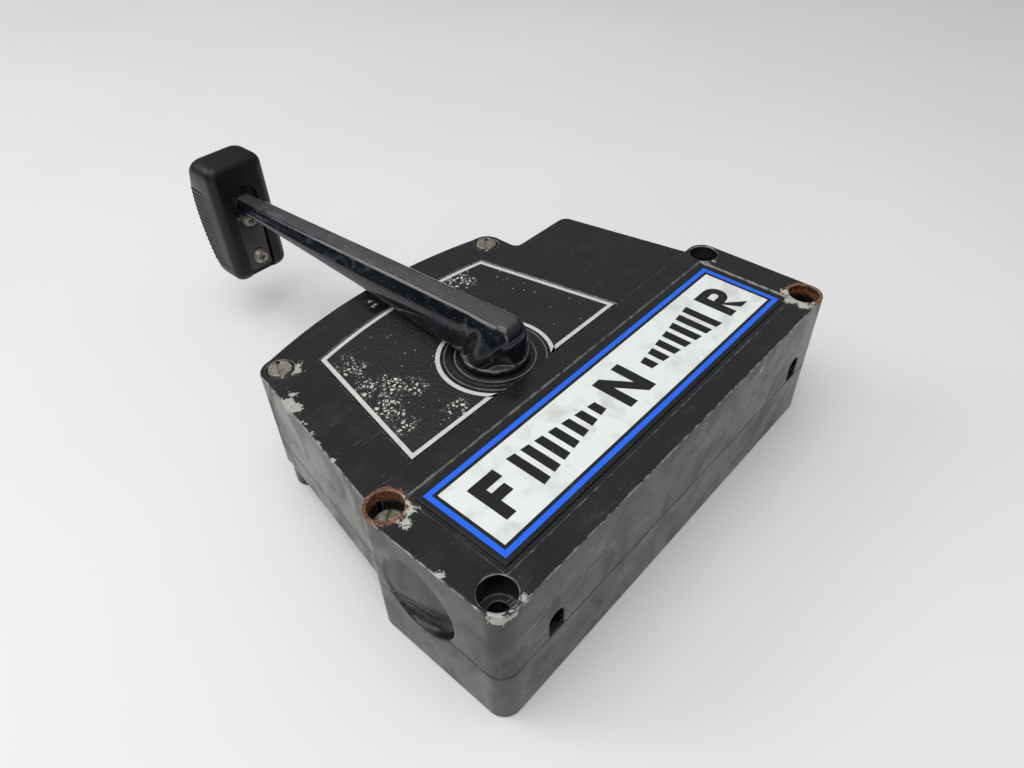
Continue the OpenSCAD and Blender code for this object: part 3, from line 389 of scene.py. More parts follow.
ink = bmesh.new()
for side in (-1, 1):
    for step in range(BAR_COUNT):
        near, half = BAR_START + BAR_PITCH * step, BAR_HALF + BAR_GROWTH * step
        far = near + BAR_WIDTH
        ink_bar(ink, [(side * near, -half), (side * far, -half - BAR_FLARE), (side * far, half + BAR_FLARE),
                      (side * near, half)])
stems = [(x, -LETTER_TOP, w, 2 * LETTER_TOP)
         for x, w in ((-88, STROKE), (-9.5, 5.2), (4.3, 5.2), (73.4, STROKE))]
for x, y, w, h in stems + [(-82.6, 5.1, 9.2, 5.4), (-82.6, -2.6, 7.2, 5.0)]:
    ink_bar(ink, [(x, y), (x + w, y), (x + w, y + h), (x, y + h)])
ink_bar(ink, [(-4.3, LETTER_TOP), (-4.3, 2.2), (4.3, -LETTER_TOP), (4.3, -2.2)])
bowl = [(math.cos(math.radians(a)), math.sin(math.radians(a))) for a in range(-90, 91, 15)]
inner = [(BOWL_X + BOWL_HOLE[0] * x, BOWL_Y + BOWL_HOLE[1] * y) for x, y in bowl]
outer = [(BOWL_X + BOWL_R * x, BOWL_Y + BOWL_R * y) for x, y in bowl]
for k in range(len(bowl) - 1):
    ink_bar(ink, [inner[k], outer[k], outer[k + 1], inner[k + 1]])
for y, h in ((-2.3, 4.5), (6.0, 4.5)):
    ink_bar(ink, [(78.8, y), (BOWL_X, y), (BOWL_X, y + h), (78.8, y + h)])
ink_bar(ink, [(78.8, -2.3), (80.8, -2.3), (89.4, -LETTER_TOP), (83.4, -LETTER_TOP)])
ink.normal_update()
new_piece("nameplate_marks", ink, "housing", "nameplate_enamel", ink_finish)


# ---------------------------------------------------------------- Trim panel
# A thin panel of black grained vinyl behind the handle, with a silver foil border pressed into it.
# The foil and the tops of the grain have rubbed through to white along the left side and by the arm.

RUBBED = [(-50, 45, 72.8, 6), (-52, 30, 72.8, 7), (-55, 12, 72.8, 7), (-57, -2, 72.8, 5), (-40, 14, 72.8, 6),
          (31, 57, 72.8, 10), (20, 59, 72.8, 8), (-38, -12, 72.8, 5), (-46, 20, 72.8, 8)]


def vinyl_grain(tree):
    """The relief of leather-grained vinyl, 0 in the creases and 1 on the pebbles."""
    where = millimetres(tree)
    wobble = shade(tree, "TexNoise", {"Vector": where, "Scale": 0.6}).outputs[1]
    bent = shade(tree, "Mix", {0: 0.35, 4: where, 5: wobble}, data_type="VECTOR").outputs[1]
    pebbles = shade(tree, "TexVoronoi", {"Vector": bent, "Scale": 0.62},
                    feature="DISTANCE_TO_EDGE").outputs[0]
    return calc(tree, "ADD", times(tree, between(tree, pebbles, 0.0, 0.22), 0.8),
                times(tree, clouds(tree, where, 2.2, 3.0), 0.35))


vinyl, tree, shader = new_finish("grained vinyl", {"Specular IOR Level": 0.42})
grain = vinyl_grain(tree)
where = millimetres(tree)
patch = swinging(tree, clouds(tree, where, 0.16, 5.0), 22.0)
rubbed = between(tree, nearness(tree, where, RUBBED, patch), 1.5, -3.5)
peaks = between(tree, clouds(tree, where, 0.55, 6.0), 0.46, 0.54)
tops = times(tree, times(tree, rubbed, peaks), between(tree, grain, 0.55, 0.9))
dots = put_group(tree, specks, {"Scale": 0.42, "Size": 0.16, "Share": 0.14})
tops = calc(tree, "MAXIMUM", tops, times(tree, dots["Dots"], 0.5))
faded = tint(tree, clouds(tree, where, 0.03, 4.0), (0.008, 0.0078, 0.0076, 1), (0.020, 0.0185, 0.017, 1))
colour = tint(tree, tops, faded, (0.62, 0.62, 0.57, 1))
rough = spread(tree, grain, 0.62, 0.40)
bump = shade(tree, "Bump", {"Height": grain, "Distance": 0.00022, "Strength": 0.9})
give_look(tree, shader, colour, rough, bump.outputs[0])

foil, tree, shader = new_finish("silver foil", {"Metallic": 0.25})
where = millimetres(tree)
patch = swinging(tree, clouds(tree, where, 0.9, 5.0), 4.0)
scraped = between(tree, calc(tree, "ADD", patch, clouds(tree, where, 0.07, 3.0)), 1.5, 1.8)
marks = put_group(tree, handling, {"Share": 0.5})
silver = tint(tree, clouds(tree, where, 0.5, 4.0), (0.55, 0.56, 0.54, 1), (0.80, 0.81, 0.78, 1))
colour = tint(tree, scraped, silver, (0.03, 0.03, 0.03, 1))
give_look(tree, shader, colour, spread(tree, marks["Smudge"], 0.35, 0.6))

FOIL_IN, FOIL_WIDE = 0.0006, 0.0021
SHEET_LIP, SHEET_SUNK = 0.0003, 0.00025
panel = whole_copy("trim_panel")
top_face = max((f for f in panel.faces if f.normal.z > 0.9), key=lambda f: f.calc_area())
bmesh.ops.inset_individual(panel, faces=[top_face], thickness=FOIL_IN, depth=0.0, use_even_offset=True)
ring = bmesh.ops.inset_individual(panel, faces=[top_face], thickness=FOIL_WIDE, depth=0.0,
                                  use_even_offset=True)
for face in ring["faces"]:
    face.material_index = 1
bmesh.ops.inset_individual(panel, faces=[top_face], thickness=SHEET_LIP, depth=-SHEET_SUNK,
                           use_even_offset=True)
new_piece("trim_panel_sheet", panel, "housing", "grained_vinyl", [vinyl, foil], "trim_panel")


# ---------------------------------------------------------------- Hub plate and shaft seal
# A moulded black plate with turned rings round the shaft, cut straight where it meets the bar.
# A soft rubber lip seal sits under the handle's skirt.

hub_finish, tree, shader = new_finish("hub plate plastic", {"Specular IOR Level": 0.5})
edge = put_group(tree, worn_edges, {"Reach": 0.0005, "Raggedness": 0.35, "Bias": -0.45})
marks = put_group(tree, handling, {"Share": 0.6})
dust = put_group(tree, specks, {"Scale": 0.6, "Size": 0.2, "Share": 0.12})
TURNED_RADII = (18.9, 23.9)
level_only = shade(tree, "VectorMath", {0: millimetres(tree), 1: (1, 1, 0)}, operation="MULTIPLY").outputs[0]
off_axis = shade(tree, "VectorMath", {0: level_only}, operation="LENGTH").outputs["Value"]
# Painted highlights: pale thin lines at the turned rings' radii, broken up by noise, stand for light caught
# on the ring edges.
ring_highlight_lines = [between(tree, calc(tree, "ABSOLUTE", less(tree, off_axis, radius)), 0.30, 0.12)
                for radius in TURNED_RADII]
ring_highlights = times(tree, calc(tree, "MAXIMUM", *ring_highlight_lines), clouds(tree, millimetres(tree), 0.2, 4.0))
colour = tint(tree, times(tree, ring_highlights, 0.7), (0.0055, 0.0055, 0.006, 1), (0.55, 0.56, 0.55, 1))
colour = tint(tree, times(tree, edge["Worn"], 0.12), colour, (0.45, 0.45, 0.42, 1))
colour = tint(tree, times(tree, dust["Dots"], 0.25), colour, (0.4, 0.4, 0.37, 1))
rough = spread(tree, marks["Smudge"], 0.18, 0.5)
bump = shade(tree, "Bump", {"Height": marks["Waves"], "Distance": 0.00003, "Normal": edge["Rounded"]})
give_look(tree, shader, colour, rough, bump.outputs[0])
hub = new_piece("hub_plate_moulding", ease_edges(whole_copy("hub_plate"), 0.00018, 2), "housing",
                "black_plastic", hub_finish, "hub_plate")
even_normals(hub)


def paint(material, *names):
    """Gives CAD nodes their finish, in the slots that they come with."""
    for name in names:
        for held in nodes[name].material_slots:
            held.material = material


rubber, tree, shader = new_finish("black rubber", {"Specular IOR Level": 0.3})
bloom = clouds(tree, millimetres(tree), 0.25, 5.0)
bump = shade(tree, "Bump", {"Height": clouds(tree, millimetres(tree), 3.0, 3.0), "Distance": 0.00006})
colour = tint(tree, bloom, (0.008, 0.008, 0.008, 1), (0.030, 0.029, 0.028, 1))
give_look(tree, shader, colour, spread(tree, bloom, 0.5, 0.8), bump.outputs[0])
paint(rubber, "shaft_seal")


# ---------------------------------------------------------------- Handle arm
# One aluminium casting: a tapering arm with a narrow flat crest, a fluted hub over the shaft, and a foot
# plate that the grip is screwed to. Gloss black enamel, smeared by hands and rubbed bright on its edges.

CREST = [(-9, 97.4, 6.0), (190, 86.5, 5.0), (203, 85.8, 4.9)]
LOWER = [(10, 77.0, 12.0), (88, 80.0, 10.0), (180, 80.4, 7.2), (190, 79.8, 7.3), (196, 78.2, 7.5),
         (199.5, 75.4, 7.7), (202, 71.0, 7.8), (203, 66.0, 7.9)]
NECK = [203, 202.5, 202, 201.2, 200.4, 199.5, 198, 196, 193, 190, 186]
STRAIGHT_FROM, STRAIGHT_TO = 180, 10
CREST_HALF, CREST_FILLET, CREST_NARROWS = 6.0, 3.4, 4.2
SIDE_SWELL, SIDE_STEPS, FLUTE_AT = 0.86, 14, 0.62
FLUTES = [(2.2, 0.19, 0.10), (3.8, 0.78, 0.16)]
HUB_END_R, HUB_END_Y, HUB_END_FALL, HUB_STRAIGHT = 8.5, -7.5, 11.0, 0.36
HUB_FOOT_R, HUB_FOOT_FROM, HUB_FOOT_SWEEP = 15.65, 140, 122
SKIRT_R = 16.5


def along(line, y):
    """Height and half-width on a line of (y, height, half-width), straight between its points."""
    for (y0, z0, w0), (y1, z1, w1) in zip(line, line[1:]):
        if y <= y1:
            t = max(0.0, (y - y0) / (y1 - y0))
            return z0 + (z1 - z0) * t, w0 + (w1 - w0) * t
    return line[-1][1:]


def arm_rails():
    """Crest corner, lower corner and flute depth down the left side, from the grip round the hub's end."""
    rails = []
    length = STRAIGHT_FROM - STRAIGHT_TO
    for y in NECK + [STRAIGHT_FROM - length * k / 44 for k in range(45)]:
        crest_z, crest_w = along(CREST, y)
        lower_z, lower_w = along(LOWER, y)
        rails.append(((-crest_w, y, crest_z), (-lower_w, y, lower_z), 0.0))
    round_part = HUB_END_R * math.pi / 2
    top = along(CREST, HUB_END_Y)[0]
    for k in range(1, 91):
        s = k / 90
        swing = math.radians(HUB_FOOT_FROM + HUB_FOOT_SWEEP * s)
        low = (HUB_FOOT_R * math.cos(swing), HUB_FOOT_R * math.sin(swing), LOWER[0][1])
        if s < HUB_STRAIGHT:
            y = STRAIGHT_TO + (HUB_END_Y - STRAIGHT_TO) * s / HUB_STRAIGHT
            crest = (-CREST_HALF, y, along(CREST, y)[0])
        else:
            run = (s - HUB_STRAIGHT) / (1 - HUB_STRAIGHT)
            gone = run * (round_part + HUB_END_FALL)
            bend = min(gone / HUB_END_R, math.pi / 2)
            drop = max(0.0, gone - round_part)
            crest = (-CREST_HALF + CREST_NARROWS * run * run, HUB_END_Y - HUB_END_R * math.sin(bend),
                     top - HUB_END_R * (1 - math.cos(bend)) - drop)
        hollow = sum(deep * math.exp(-((s - mid) / wide) ** 2) for deep, mid, wide in FLUTES)
        rails.append((crest, low, hollow))
    return rails


def side_section(crest, low, hollow):
    """Points down one side: round the crest's corner, then over a swelling or fluted flank."""
    crest, low = Vector(crest), Vector(low)
    down = (low - crest).normalized()
    ease = min(CREST_FILLET, -0.75 * crest.x)
    start, end = crest + Vector((ease, 0, 0)), crest + down * min(ease, 0.4 * (low - crest).length)
    row = []
    for k in range(6):
        u = k / 6
        row.append(start.lerp(crest, u).lerp(crest.lerp(end, u), u))
    outward = Vector((end.x, min(0.0, end.y - 5), 0)).normalized()
    for k in range(SIDE_STEPS + 1):
        v = k / SIDE_STEPS
        reach = min(1.0, v / FLUTE_AT)
        push = SIDE_SWELL * 4 * v * (1 - v) - hollow * reach * reach * (3 - 2 * reach)
        row.append(end.lerp(low, v) + outward * push)
    return row


arm = bmesh.new()
sides = {}
for side in (-1, 1):
    sides[side] = [[arm.verts.new((-side * point.x / 1000, point.y / 1000, point.z / 1000))
                    for point in side_section(*rail)] for rail in arm_rails()]
    for row, after in zip(sides[side], sides[side][1:]):
        for k in range(len(row) - 1):
            arm.faces.new([row[k], row[k + 1], after[k + 1], after[k]])
for edge_of in (0, -1):
    for k in range(len(sides[1]) - 1):
        arm.faces.new([sides[-1][k][edge_of], sides[1][k][edge_of], sides[1][k + 1][edge_of],
                       sides[-1][k + 1][edge_of]])
for end in (0, -1):
    for k in range(len(sides[1][0]) - 1):
        arm.faces.new([sides[-1][end][k], sides[1][end][k], sides[1][end][k + 1], sides[-1][end][k + 1]])
bmesh.ops.remove_doubles(arm, verts=arm.verts, dist=0.00002)
bmesh.ops.recalc_face_normals(arm, faces=arm.faces)


def turned(shape, profile, segments=96):
    """Adds a closed ring turned from (radius, height) points in millimetres."""
    turns = [2 * math.pi * k / segments for k in range(segments)]
    rings = [[shape.verts.new((r * math.cos(a) / 1000, r * math.sin(a) / 1000, z / 1000)) for a in turns]
             for r, z in profile]
    for ring_a, ring_b in zip(rings, rings[1:] + rings[:1]):
        for k in range(segments):
            n = (k + 1) % segments
            shape.faces.new([ring_a[k], ring_a[n], ring_b[n], ring_b[k]])


turned(arm, [(6.2, 74.5), (15.9, 74.5), (16.35, 74.75), (SKIRT_R, 75.2), (SKIRT_R, 75.9), (16.3, 76.4),
             (15.9, 76.7), (15.4, 76.9), (6.2, 77.1)])

FOOT_HALF, FOOT_LOW, FOOT_ARCH_Z = 8, 37.3, 84
FOOT_NEAR, FOOT_FAR = 0.201, 0.205
foot = [(-FOOT_HALF + 2.4, FOOT_LOW), (FOOT_HALF - 2.4, FOOT_LOW), (FOOT_HALF - 0.7, 38.0), (FOOT_HALF, 39.7)]
foot += [(FOOT_HALF * math.cos(math.radians(a)), FOOT_ARCH_Z + FOOT_HALF * math.sin(math.radians(a)))
         for a in range(0, 181, 9)]
foot += [(-FOOT_HALF, 39.7), (-FOOT_HALF + 0.7, 38.0)]
front_ring = [arm.verts.new((x / 1000, FOOT_NEAR, z / 1000)) for x, z in foot]
back_ring = [arm.verts.new((x / 1000, FOOT_FAR, z / 1000)) for x, z in foot]
foot_face = arm.faces.new(front_ring)
arm.faces.new(back_ring[::-1])
for k in range(len(foot)):
    n = (k + 1) % len(foot)
    arm.faces.new([front_ring[n], front_ring[k], back_ring[k], back_ring[n]])
bmesh.ops.bevel(arm, geom=list(foot_face.edges), offset=0.0005, segments=2, profile=0.5, affect="EDGES",
                clamp_overlap=True)
bmesh.ops.recalc_face_normals(arm, faces=arm.faces)
soften(arm, 42)

arm_finish, tree, shader = new_finish("arm gloss enamel", {"Specular IOR Level": 0.55, "Coat Weight": 0.15,
                                                           "Coat Roughness": 0.06})
where = millimetres(tree)
edge = put_group(tree, worn_edges, {"Reach": 0.0009, "Raggedness": 0.18, "Bias": -0.30})
marks = put_group(tree, handling, {"Share": 0.8})
dust = put_group(tree, specks, {"Scale": 0.5, "Size": 0.16, "Share": 0.2})
hand = clouds(tree, millimetres(tree, (0.4, 0.1, 0.6), (1.0, 0.55, 1.0)), 0.11, 8.0, 1.6)
smear = between(tree, hand, 0.50, 0.72)
ragged = swinging(tree, clouds(tree, where, 1.2, 4.0), 2.0)
ARM_CHIPS = [(-9.8, 15.5, 80, 1.0), (-7, 60, 94, 0.8), (6.2, 30, 95, 0.7)]
chip = between(tree, nearness(tree, where, ARM_CHIPS, ragged), 0.25, -0.1)
own_normal = shade(tree, "TexCoord").outputs["Normal"]
# Painted highlight: faces turned upward, the crest above all, are tinted lighter grey, more where smeared, to
# stand for overhead light.
lit_top = between(tree, shade(tree, "SeparateXYZ", {0: own_normal}).outputs["Z"], 0.80, 0.97)
colour = tint(tree, times(tree, smear, 0.55), (0.0026, 0.0032, 0.0046, 1), (0.017, 0.022, 0.034, 1))
colour = tint(tree, times(tree, lit_top, calc(tree, "ADD", times(tree, smear, 0.4), 0.6)),
              colour, (0.085, 0.088, 0.088, 1))
colour = tint(tree, times(tree, calc(tree, "MAXIMUM", marks["Scratch"], dust["Dots"]), 0.22), colour,
              (0.4, 0.42, 0.45, 1))
short_of_foot = between(tree, shade(tree, "SeparateXYZ", {0: where}).outputs["Y"], 196.0, 180.0)
worn = times(tree, edge["Worn"], calc(tree, "ADD", times(tree, short_of_foot, 0.85), 0.15))
colour = tint(tree, calc(tree, "MAXIMUM", worn, chip), colour, (0.62, 0.62, 0.58, 1))
rough = calc(tree, "ADD", times(tree, smear, 0.22), 0.12)
rough = shade(tree, "Mix", {0: edge["Worn"], 2: rough, 3: 0.45}).outputs[0]
bump = shade(tree, "Bump", {"Height": marks["Waves"], "Distance": 0.00003, "Normal": edge["Rounded"]})
give_look(tree, shader, colour, rough, bump.outputs[0])
new_piece("handle_arm_casting", arm, "handle", "gloss_enamel", arm_finish, "handle_arm")


# ---------------------------------------------------------------- Grip
# A moulded black plastic hand grip, bowed on its outer edge, with finger ribs round its middle and a
# channel in its inner face where the foot plate lies. Its channel edges are rubbed grey.

GRIP_Z, GRIP_HALF_H, GRIP_HALF_W = 69.8, 38.0, 18.0
GRIP_IN, GRIP_OUT, BOW_R = 199.5, 234.6, 77.2
INNER_R, OUTER_R = 6.0, 9.0
CHANNEL_HALF, CHANNEL_DEPTH, ARCH_Z = 8.4, 5.5, 84.0
RIB_LOW, RIB_PITCH, RIB_COUNT, RIB_HIGH = 42.0, 2.9, 17, 0.5
RIB_THICK, RIB_BACK = 1.8, 206.0
DOME_R, CAP_INSET = 7.0, 6.2


def bowed_edge(z):
    """How far out the grip reaches at a height."""
    return GRIP_OUT - BOW_R + math.sqrt(BOW_R ** 2 - (z - GRIP_Z) ** 2)


def corner(x, y, r, first, last):
    """Points round a corner of the grip's plan, between two angles."""
    return [(x + r * math.cos(math.radians(first + (last - first) * k / 8)),
             y + r * math.sin(math.radians(first + (last - first) * k / 8))) for k in range(9)]


def grip_outline(z, inset, below_ribs):
    """One level of the grip, anticlockwise, drawn in by inset, and sunk below the ribs where they stand."""
    outer, half, inner = bowed_edge(z) - inset, GRIP_HALF_W - inset, GRIP_IN + inset
    inner_r, outer_r = max(1.6, INNER_R - 0.7 * inset), max(2.8, OUTER_R - inset)
    points = corner(half - inner_r, inner + inner_r, inner_r, -90, 0)
    points += corner(half - outer_r, outer - outer_r, outer_r - below_ribs, 0, 90)
    return points + [(-x, y) for x, y in reversed(points)]


grip = bmesh.new()
low_z, high_z = GRIP_Z - GRIP_HALF_H, GRIP_Z + GRIP_HALF_H
ribs_to = RIB_LOW + RIB_PITCH * (RIB_COUNT - 1) + 2
dome = [(DOME_R * (1 - math.cos(math.radians(a))), DOME_R * (1 - math.sin(math.radians(a))))
        for a in range(12, 91, 13)]
levels = [(low_z, CAP_INSET, 0.0)] + [(low_z + up, inward, 0.0) for up, inward in dome]
levels += [(RIB_LOW - 0.9, 0.0, 0.0)]
levels += [(RIB_LOW - 0.4 + (ribs_to + 0.8 - RIB_LOW) * k / 24, 0.0, RIB_HIGH) for k in range(25)]
levels += [(ribs_to + 0.9, 0.0, 0.0)]
levels += [(high_z - up, inward, 0.0) for up, inward in reversed(dome)] + [(high_z, CAP_INSET, 0.0)]
rings = [[grip.verts.new((x / 1000, y / 1000, z / 1000)) for x, y in grip_outline(z, inset, sunk)]
         for z, inset, sunk in levels]
for low_ring, high_ring in zip(rings, rings[1:]):
    count = len(low_ring)
    for k in range(count):
        n = (k + 1) % count
        grip.faces.new([low_ring[k], low_ring[n], high_ring[n], high_ring[k]])
grip.faces.new(rings[0][::-1])
grip.faces.new(rings[-1])
bmesh.ops.recalc_face_normals(grip, faces=grip.faces)

channel = bmesh.new()
arch = [(-CHANNEL_HALF, low_z - 5), (CHANNEL_HALF, low_z - 5)]
arch += [(CHANNEL_HALF * math.cos(math.radians(a)), ARCH_Z + CHANNEL_HALF * math.sin(math.radians(a)))
         for a in range(0, 181, 6)]
near_side = [channel.verts.new((x / 1000, (GRIP_IN - 3) / 1000, z / 1000)) for x, z in arch]
far_side = [channel.verts.new((x / 1000, (GRIP_IN + CHANNEL_DEPTH) / 1000, z / 1000)) for x, z in arch]
channel.faces.new(near_side)
channel.faces.new(far_side[::-1])
for k in range(len(arch)):
    n = (k + 1) % len(arch)
    channel.faces.new([near_side[n], near_side[k], far_side[k], far_side[n]])
bmesh.ops.recalc_face_normals(channel, faces=channel.faces)


def carved(shape, cutter):
    """The first closed shape with the second cut out of it."""
    held = []
    for source in (shape, cutter):
        mesh = bpy.data.meshes.new("cut")
        source.to_mesh(mesh)
        source.free()
        held.append(bpy.data.objects.new("cut", mesh))
        bpy.context.scene.collection.objects.link(held[-1])
    cut = held[0].modifiers.new("cut", "BOOLEAN")
    cut.operation, cut.solver, cut.object = "DIFFERENCE", "EXACT", held[1]
    left = bmesh.new()
    left.from_mesh(held[0].evaluated_get(bpy.context.evaluated_depsgraph_get()).data)
    for thing in held:
        bpy.data.objects.remove(thing)
    return left


grip = carved(grip, channel)
soften(grip, 34)

grip_finish, tree, shader = new_finish("grip plastic", {"Specular IOR Level": 0.32})
edge = put_group(tree, worn_edges, {"Reach": 0.0010, "Raggedness": 0.12, "Bias": -0.42})
marks = put_group(tree, handling, {"Share": 0.5})
inner_side = between(tree, shade(tree, "SeparateXYZ", {0: millimetres(tree)}).outputs["Y"], 201.5, 200.0)
rubbed_edge = times(tree, edge["Worn"], inner_side)
colour = tint(tree, times(tree, rubbed_edge, 0.8), (0.0045, 0.0045, 0.0052, 1), (0.20, 0.21, 0.23, 1))
rough = spread(tree, marks["Smudge"], 0.22, 0.52)
bump = shade(tree, "Bump", {"Height": clouds(tree, millimetres(tree), 2.4, 3.0), "Distance": 0.00004,
                            "Normal": edge["Rounded"]})
give_look(tree, shader, colour, rough, bump.outputs[0])
new_piece("grip_moulding", grip, "handle", "grip_plastic", grip_finish, "grip")

ribs = bpy.data.node_groups.new("Grip Ribs", "GeometryNodeTree")
ribs.is_modifier = True
for label, kind in (("Count", "Int"), ("Pitch", "Float"), ("Thickness", "Float"), ("Half Width", "Float"),
                    ("Bow Radius", "Float"), ("Finish", "Material")):
    ribs.interface.new_socket(label, in_out="INPUT", socket_type="NodeSocket" + kind)
ribs.interface.new_socket("Geometry", in_out="OUTPUT", socket_type="NodeSocketGeometry")
given = ribs.nodes.new("NodeGroupInput").outputs
made = ribs.nodes.new("NodeGroupOutput").inputs


def rib_node(kind, inputs=None, **settings):
    """Adds one node to the rib tree."""
    return add_node(ribs, "GeometryNode" + kind, inputs, **settings)


depth = (GRIP_OUT - RIB_BACK) / 1000
section = rib_node("CurvePrimitiveQuadrilateral", {0: times(ribs, given["Half Width"], 2.0), 1: depth})
shifted = rib_node("Transform", {0: section.outputs[0], "Translation": (0, depth / 2, 0)})
eased = rib_node("FilletCurve", {"Curve": shifted.outputs[0], "Radius": OUTER_R / 1000, "Count": 8},
                 mode="POLY")
filled = rib_node("FillCurve", {0: eased.outputs[0]}, mode="NGONS")
bar = rib_node("ExtrudeMesh", {"Mesh": filled.outputs[0], "Offset Scale": given["Thickness"]})
bottom = rib_node("FlipFaces", {0: filled.outputs[0]})
solid = rib_node("JoinGeometry")
join_up(ribs, [(bar.outputs[0], solid.inputs[0]), (bottom.outputs[0], solid.inputs[0])])
whole = rib_node("MergeByDistance", {0: solid.outputs[0], "Distance": 0.00001})
pitch = shade(ribs, "CombineXYZ", {"Z": given["Pitch"]})
levels = rib_node("MeshLine", {"Count": given["Count"], "Offset": pitch.outputs[0],
                               "Start Location": (0, RIB_BACK / 1000, RIB_LOW / 1000)}, mode="OFFSET")
at = shade(ribs, "SeparateXYZ", {0: rib_node("InputPosition").outputs[0]})
off_middle = less(ribs, at.outputs["Z"], (GRIP_Z - RIB_THICK / 2) / 1000)
chord = calc(ribs, "SQRT", less(ribs, times(ribs, given["Bow Radius"], given["Bow Radius"]),
                                times(ribs, off_middle, off_middle)))
drop = less(ribs, given["Bow Radius"], chord)
stretch = calc(ribs, "DIVIDE", less(ribs, depth, drop), depth)
sizes = shade(ribs, "CombineXYZ", {"X": 1.0, "Y": stretch, "Z": 1.0})
placed = rib_node("InstanceOnPoints", {"Points": levels.outputs[0], "Instance": whole.outputs[0],
                                       "Scale": sizes.outputs[0]})
real = rib_node("RealizeInstances", {0: placed.outputs[0]})
coloured = rib_node("SetMaterial", {"Geometry": real.outputs[0], "Material": given["Finish"]})
join_up(ribs, [(coloured.outputs[0], made["Geometry"])])


def grown(tree, values):
    """The plain mesh that a geometry tree makes with these named inputs."""
    holder = bpy.data.objects.new("holder", bpy.data.meshes.new("holder"))
    bpy.context.scene.collection.objects.link(holder)
    modifier = holder.modifiers.new("made", "NODES")
    modifier.node_group = tree
    for item in tree.interface.items_tree:
        if item.item_type == "SOCKET" and item.in_out == "INPUT" and item.name in values:
            modifier[item.identifier] = values[item.name]
    seen = holder.evaluated_get(bpy.context.evaluated_depsgraph_get())
    mesh = bpy.data.meshes.new_from_object(seen)
    bpy.data.objects.remove(holder)
    return mesh


rib_mesh = grown(ribs, {"Count": RIB_COUNT, "Pitch": RIB_PITCH / 1000, "Thickness": RIB_THICK / 1000,
                        "Half Width": GRIP_HALF_W / 1000, "Bow Radius": BOW_R / 1000, "Finish": grip_finish})
shape = bmesh.new()
shape.from_mesh(rib_mesh)
bmesh.ops.recalc_face_normals(shape, faces=shape.faces)
ease_edges(shape, 0.0007, 3, angle=50)
new_piece("grip_ribs", shape, "handle", "grip_plastic", grip_finish)


# ---------------------------------------------------------------- Screws
# Slotted heads hold the case halves together, and cross heads hold the grip to the arm's foot plate.
# All are nickel-plated steel, gone cream on top and brown in the slots.

nickel, tree, shader = new_finish("tarnished nickel", {"Metallic": 0.75})
where = millimetres(tree)
edge = put_group(tree, worn_edges, {"Reach": 0.0005, "Raggedness": 0.8, "Bias": -0.2})
tarnish = clouds(tree, where, 0.7, 5.0)
colour = tint(tree, between(tree, tarnish, 0.35, 0.7), (0.44, 0.42, 0.37, 1), (0.20, 0.165, 0.12, 1))
colour = tint(tree, times(tree, edge["Worn"], 0.5), colour, (0.80, 0.79, 0.74, 1))
rough = spread(tree, tarnish, 0.32, 0.62)
bump = shade(tree, "Bump", {"Height": clouds(tree, where, 2.5, 4.0), "Distance": 0.00008,
                            "Normal": edge["Rounded"]})
give_look(tree, shader, colour, rough, bump.outputs[0])
for node, body in (("hump_case_screws", "housing"), ("bar_case_screws", "housing"),
                   ("grip_screws", "handle")):
    heads = ease_edges(whole_copy(node), 0.0003, 2, angle=40)
    even_normals(new_piece(node + "_set", heads, body, "plated_screw", nickel, node))
paint(nickel, "clamp_screws", "switch_screws", "spacer_washer", "lower_washer")


# ---------------------------------------------------------------- Shaft, gear and levers
# Inside the case: a ground steel shaft and key, milled steel gear, crank and sector, bronze bushes and
# washers, spring-steel rings and clips. Oiled, with turning and milling lines.

def machined(name, light, dark, rough_low, rough_high, lines):
    """A bare worked metal: two tones of stain, fine tool lines and softened corners."""
    material, tree, shader = new_finish(name, {"Metallic": 0.95})
    where = millimetres(tree)
    edge = put_group(tree, worn_edges, {"Reach": 0.0003, "Raggedness": 0.8, "Bias": -0.3})
    stain = clouds(tree, where, 0.18, 6.0, 0.4)
    colour = tint(tree, between(tree, stain, 0.35, 0.68), light, dark)
    colour = tint(tree, times(tree, edge["Worn"], 0.4), colour, [min(1, 1.3 * c) for c in light])
    rough = spread(tree, stain, rough_low, rough_high)
    tool = clouds(tree, millimetres(tree, (0, 0, 0.6), (0.1, lines, lines)), 1.0, 2.0)
    bump = shade(tree, "Bump", {"Height": tool, "Distance": 0.00002, "Normal": edge["Rounded"]})
    give_look(tree, shader, colour, rough, bump.outputs[0])
    return material


paint(machined("ground steel", (0.60, 0.61, 0.62, 1), (0.40, 0.40, 0.39, 1), 0.18, 0.34, 6.0),
      "handle_shaft", "shaft_key", "dowel_pins", "throttle_pin", "shift_pin", "sector_stud", "detent_ball")
paint(machined("milled gear steel", (0.46, 0.46, 0.45, 1), (0.25, 0.23, 0.20, 1), 0.30, 0.50, 3.0),
      "drive_gear", "throttle_crank", "shift_sector")
paint(machined("spring steel", (0.30, 0.30, 0.31, 1), (0.14, 0.13, 0.13, 1), 0.28, 0.48, 5.0),
      "retaining_ring", "throttle_pin_clip", "shift_pin_clip", "sector_clip", "detent_spring",
      "handle_set_screw")
paint(machined("sintered bronze", (0.62, 0.41, 0.20, 1), (0.36, 0.22, 0.10, 1), 0.35, 0.55, 4.0),
      "front_bush", "rear_bush", "sector_bush", "thrust_washer")


# ---------------------------------------------------------------- Neutral switch
# A start-in-neutral switch, screwed down inside the case: a moulded phenolic body with brass blades.
# The crank presses its pale nylon plunger.

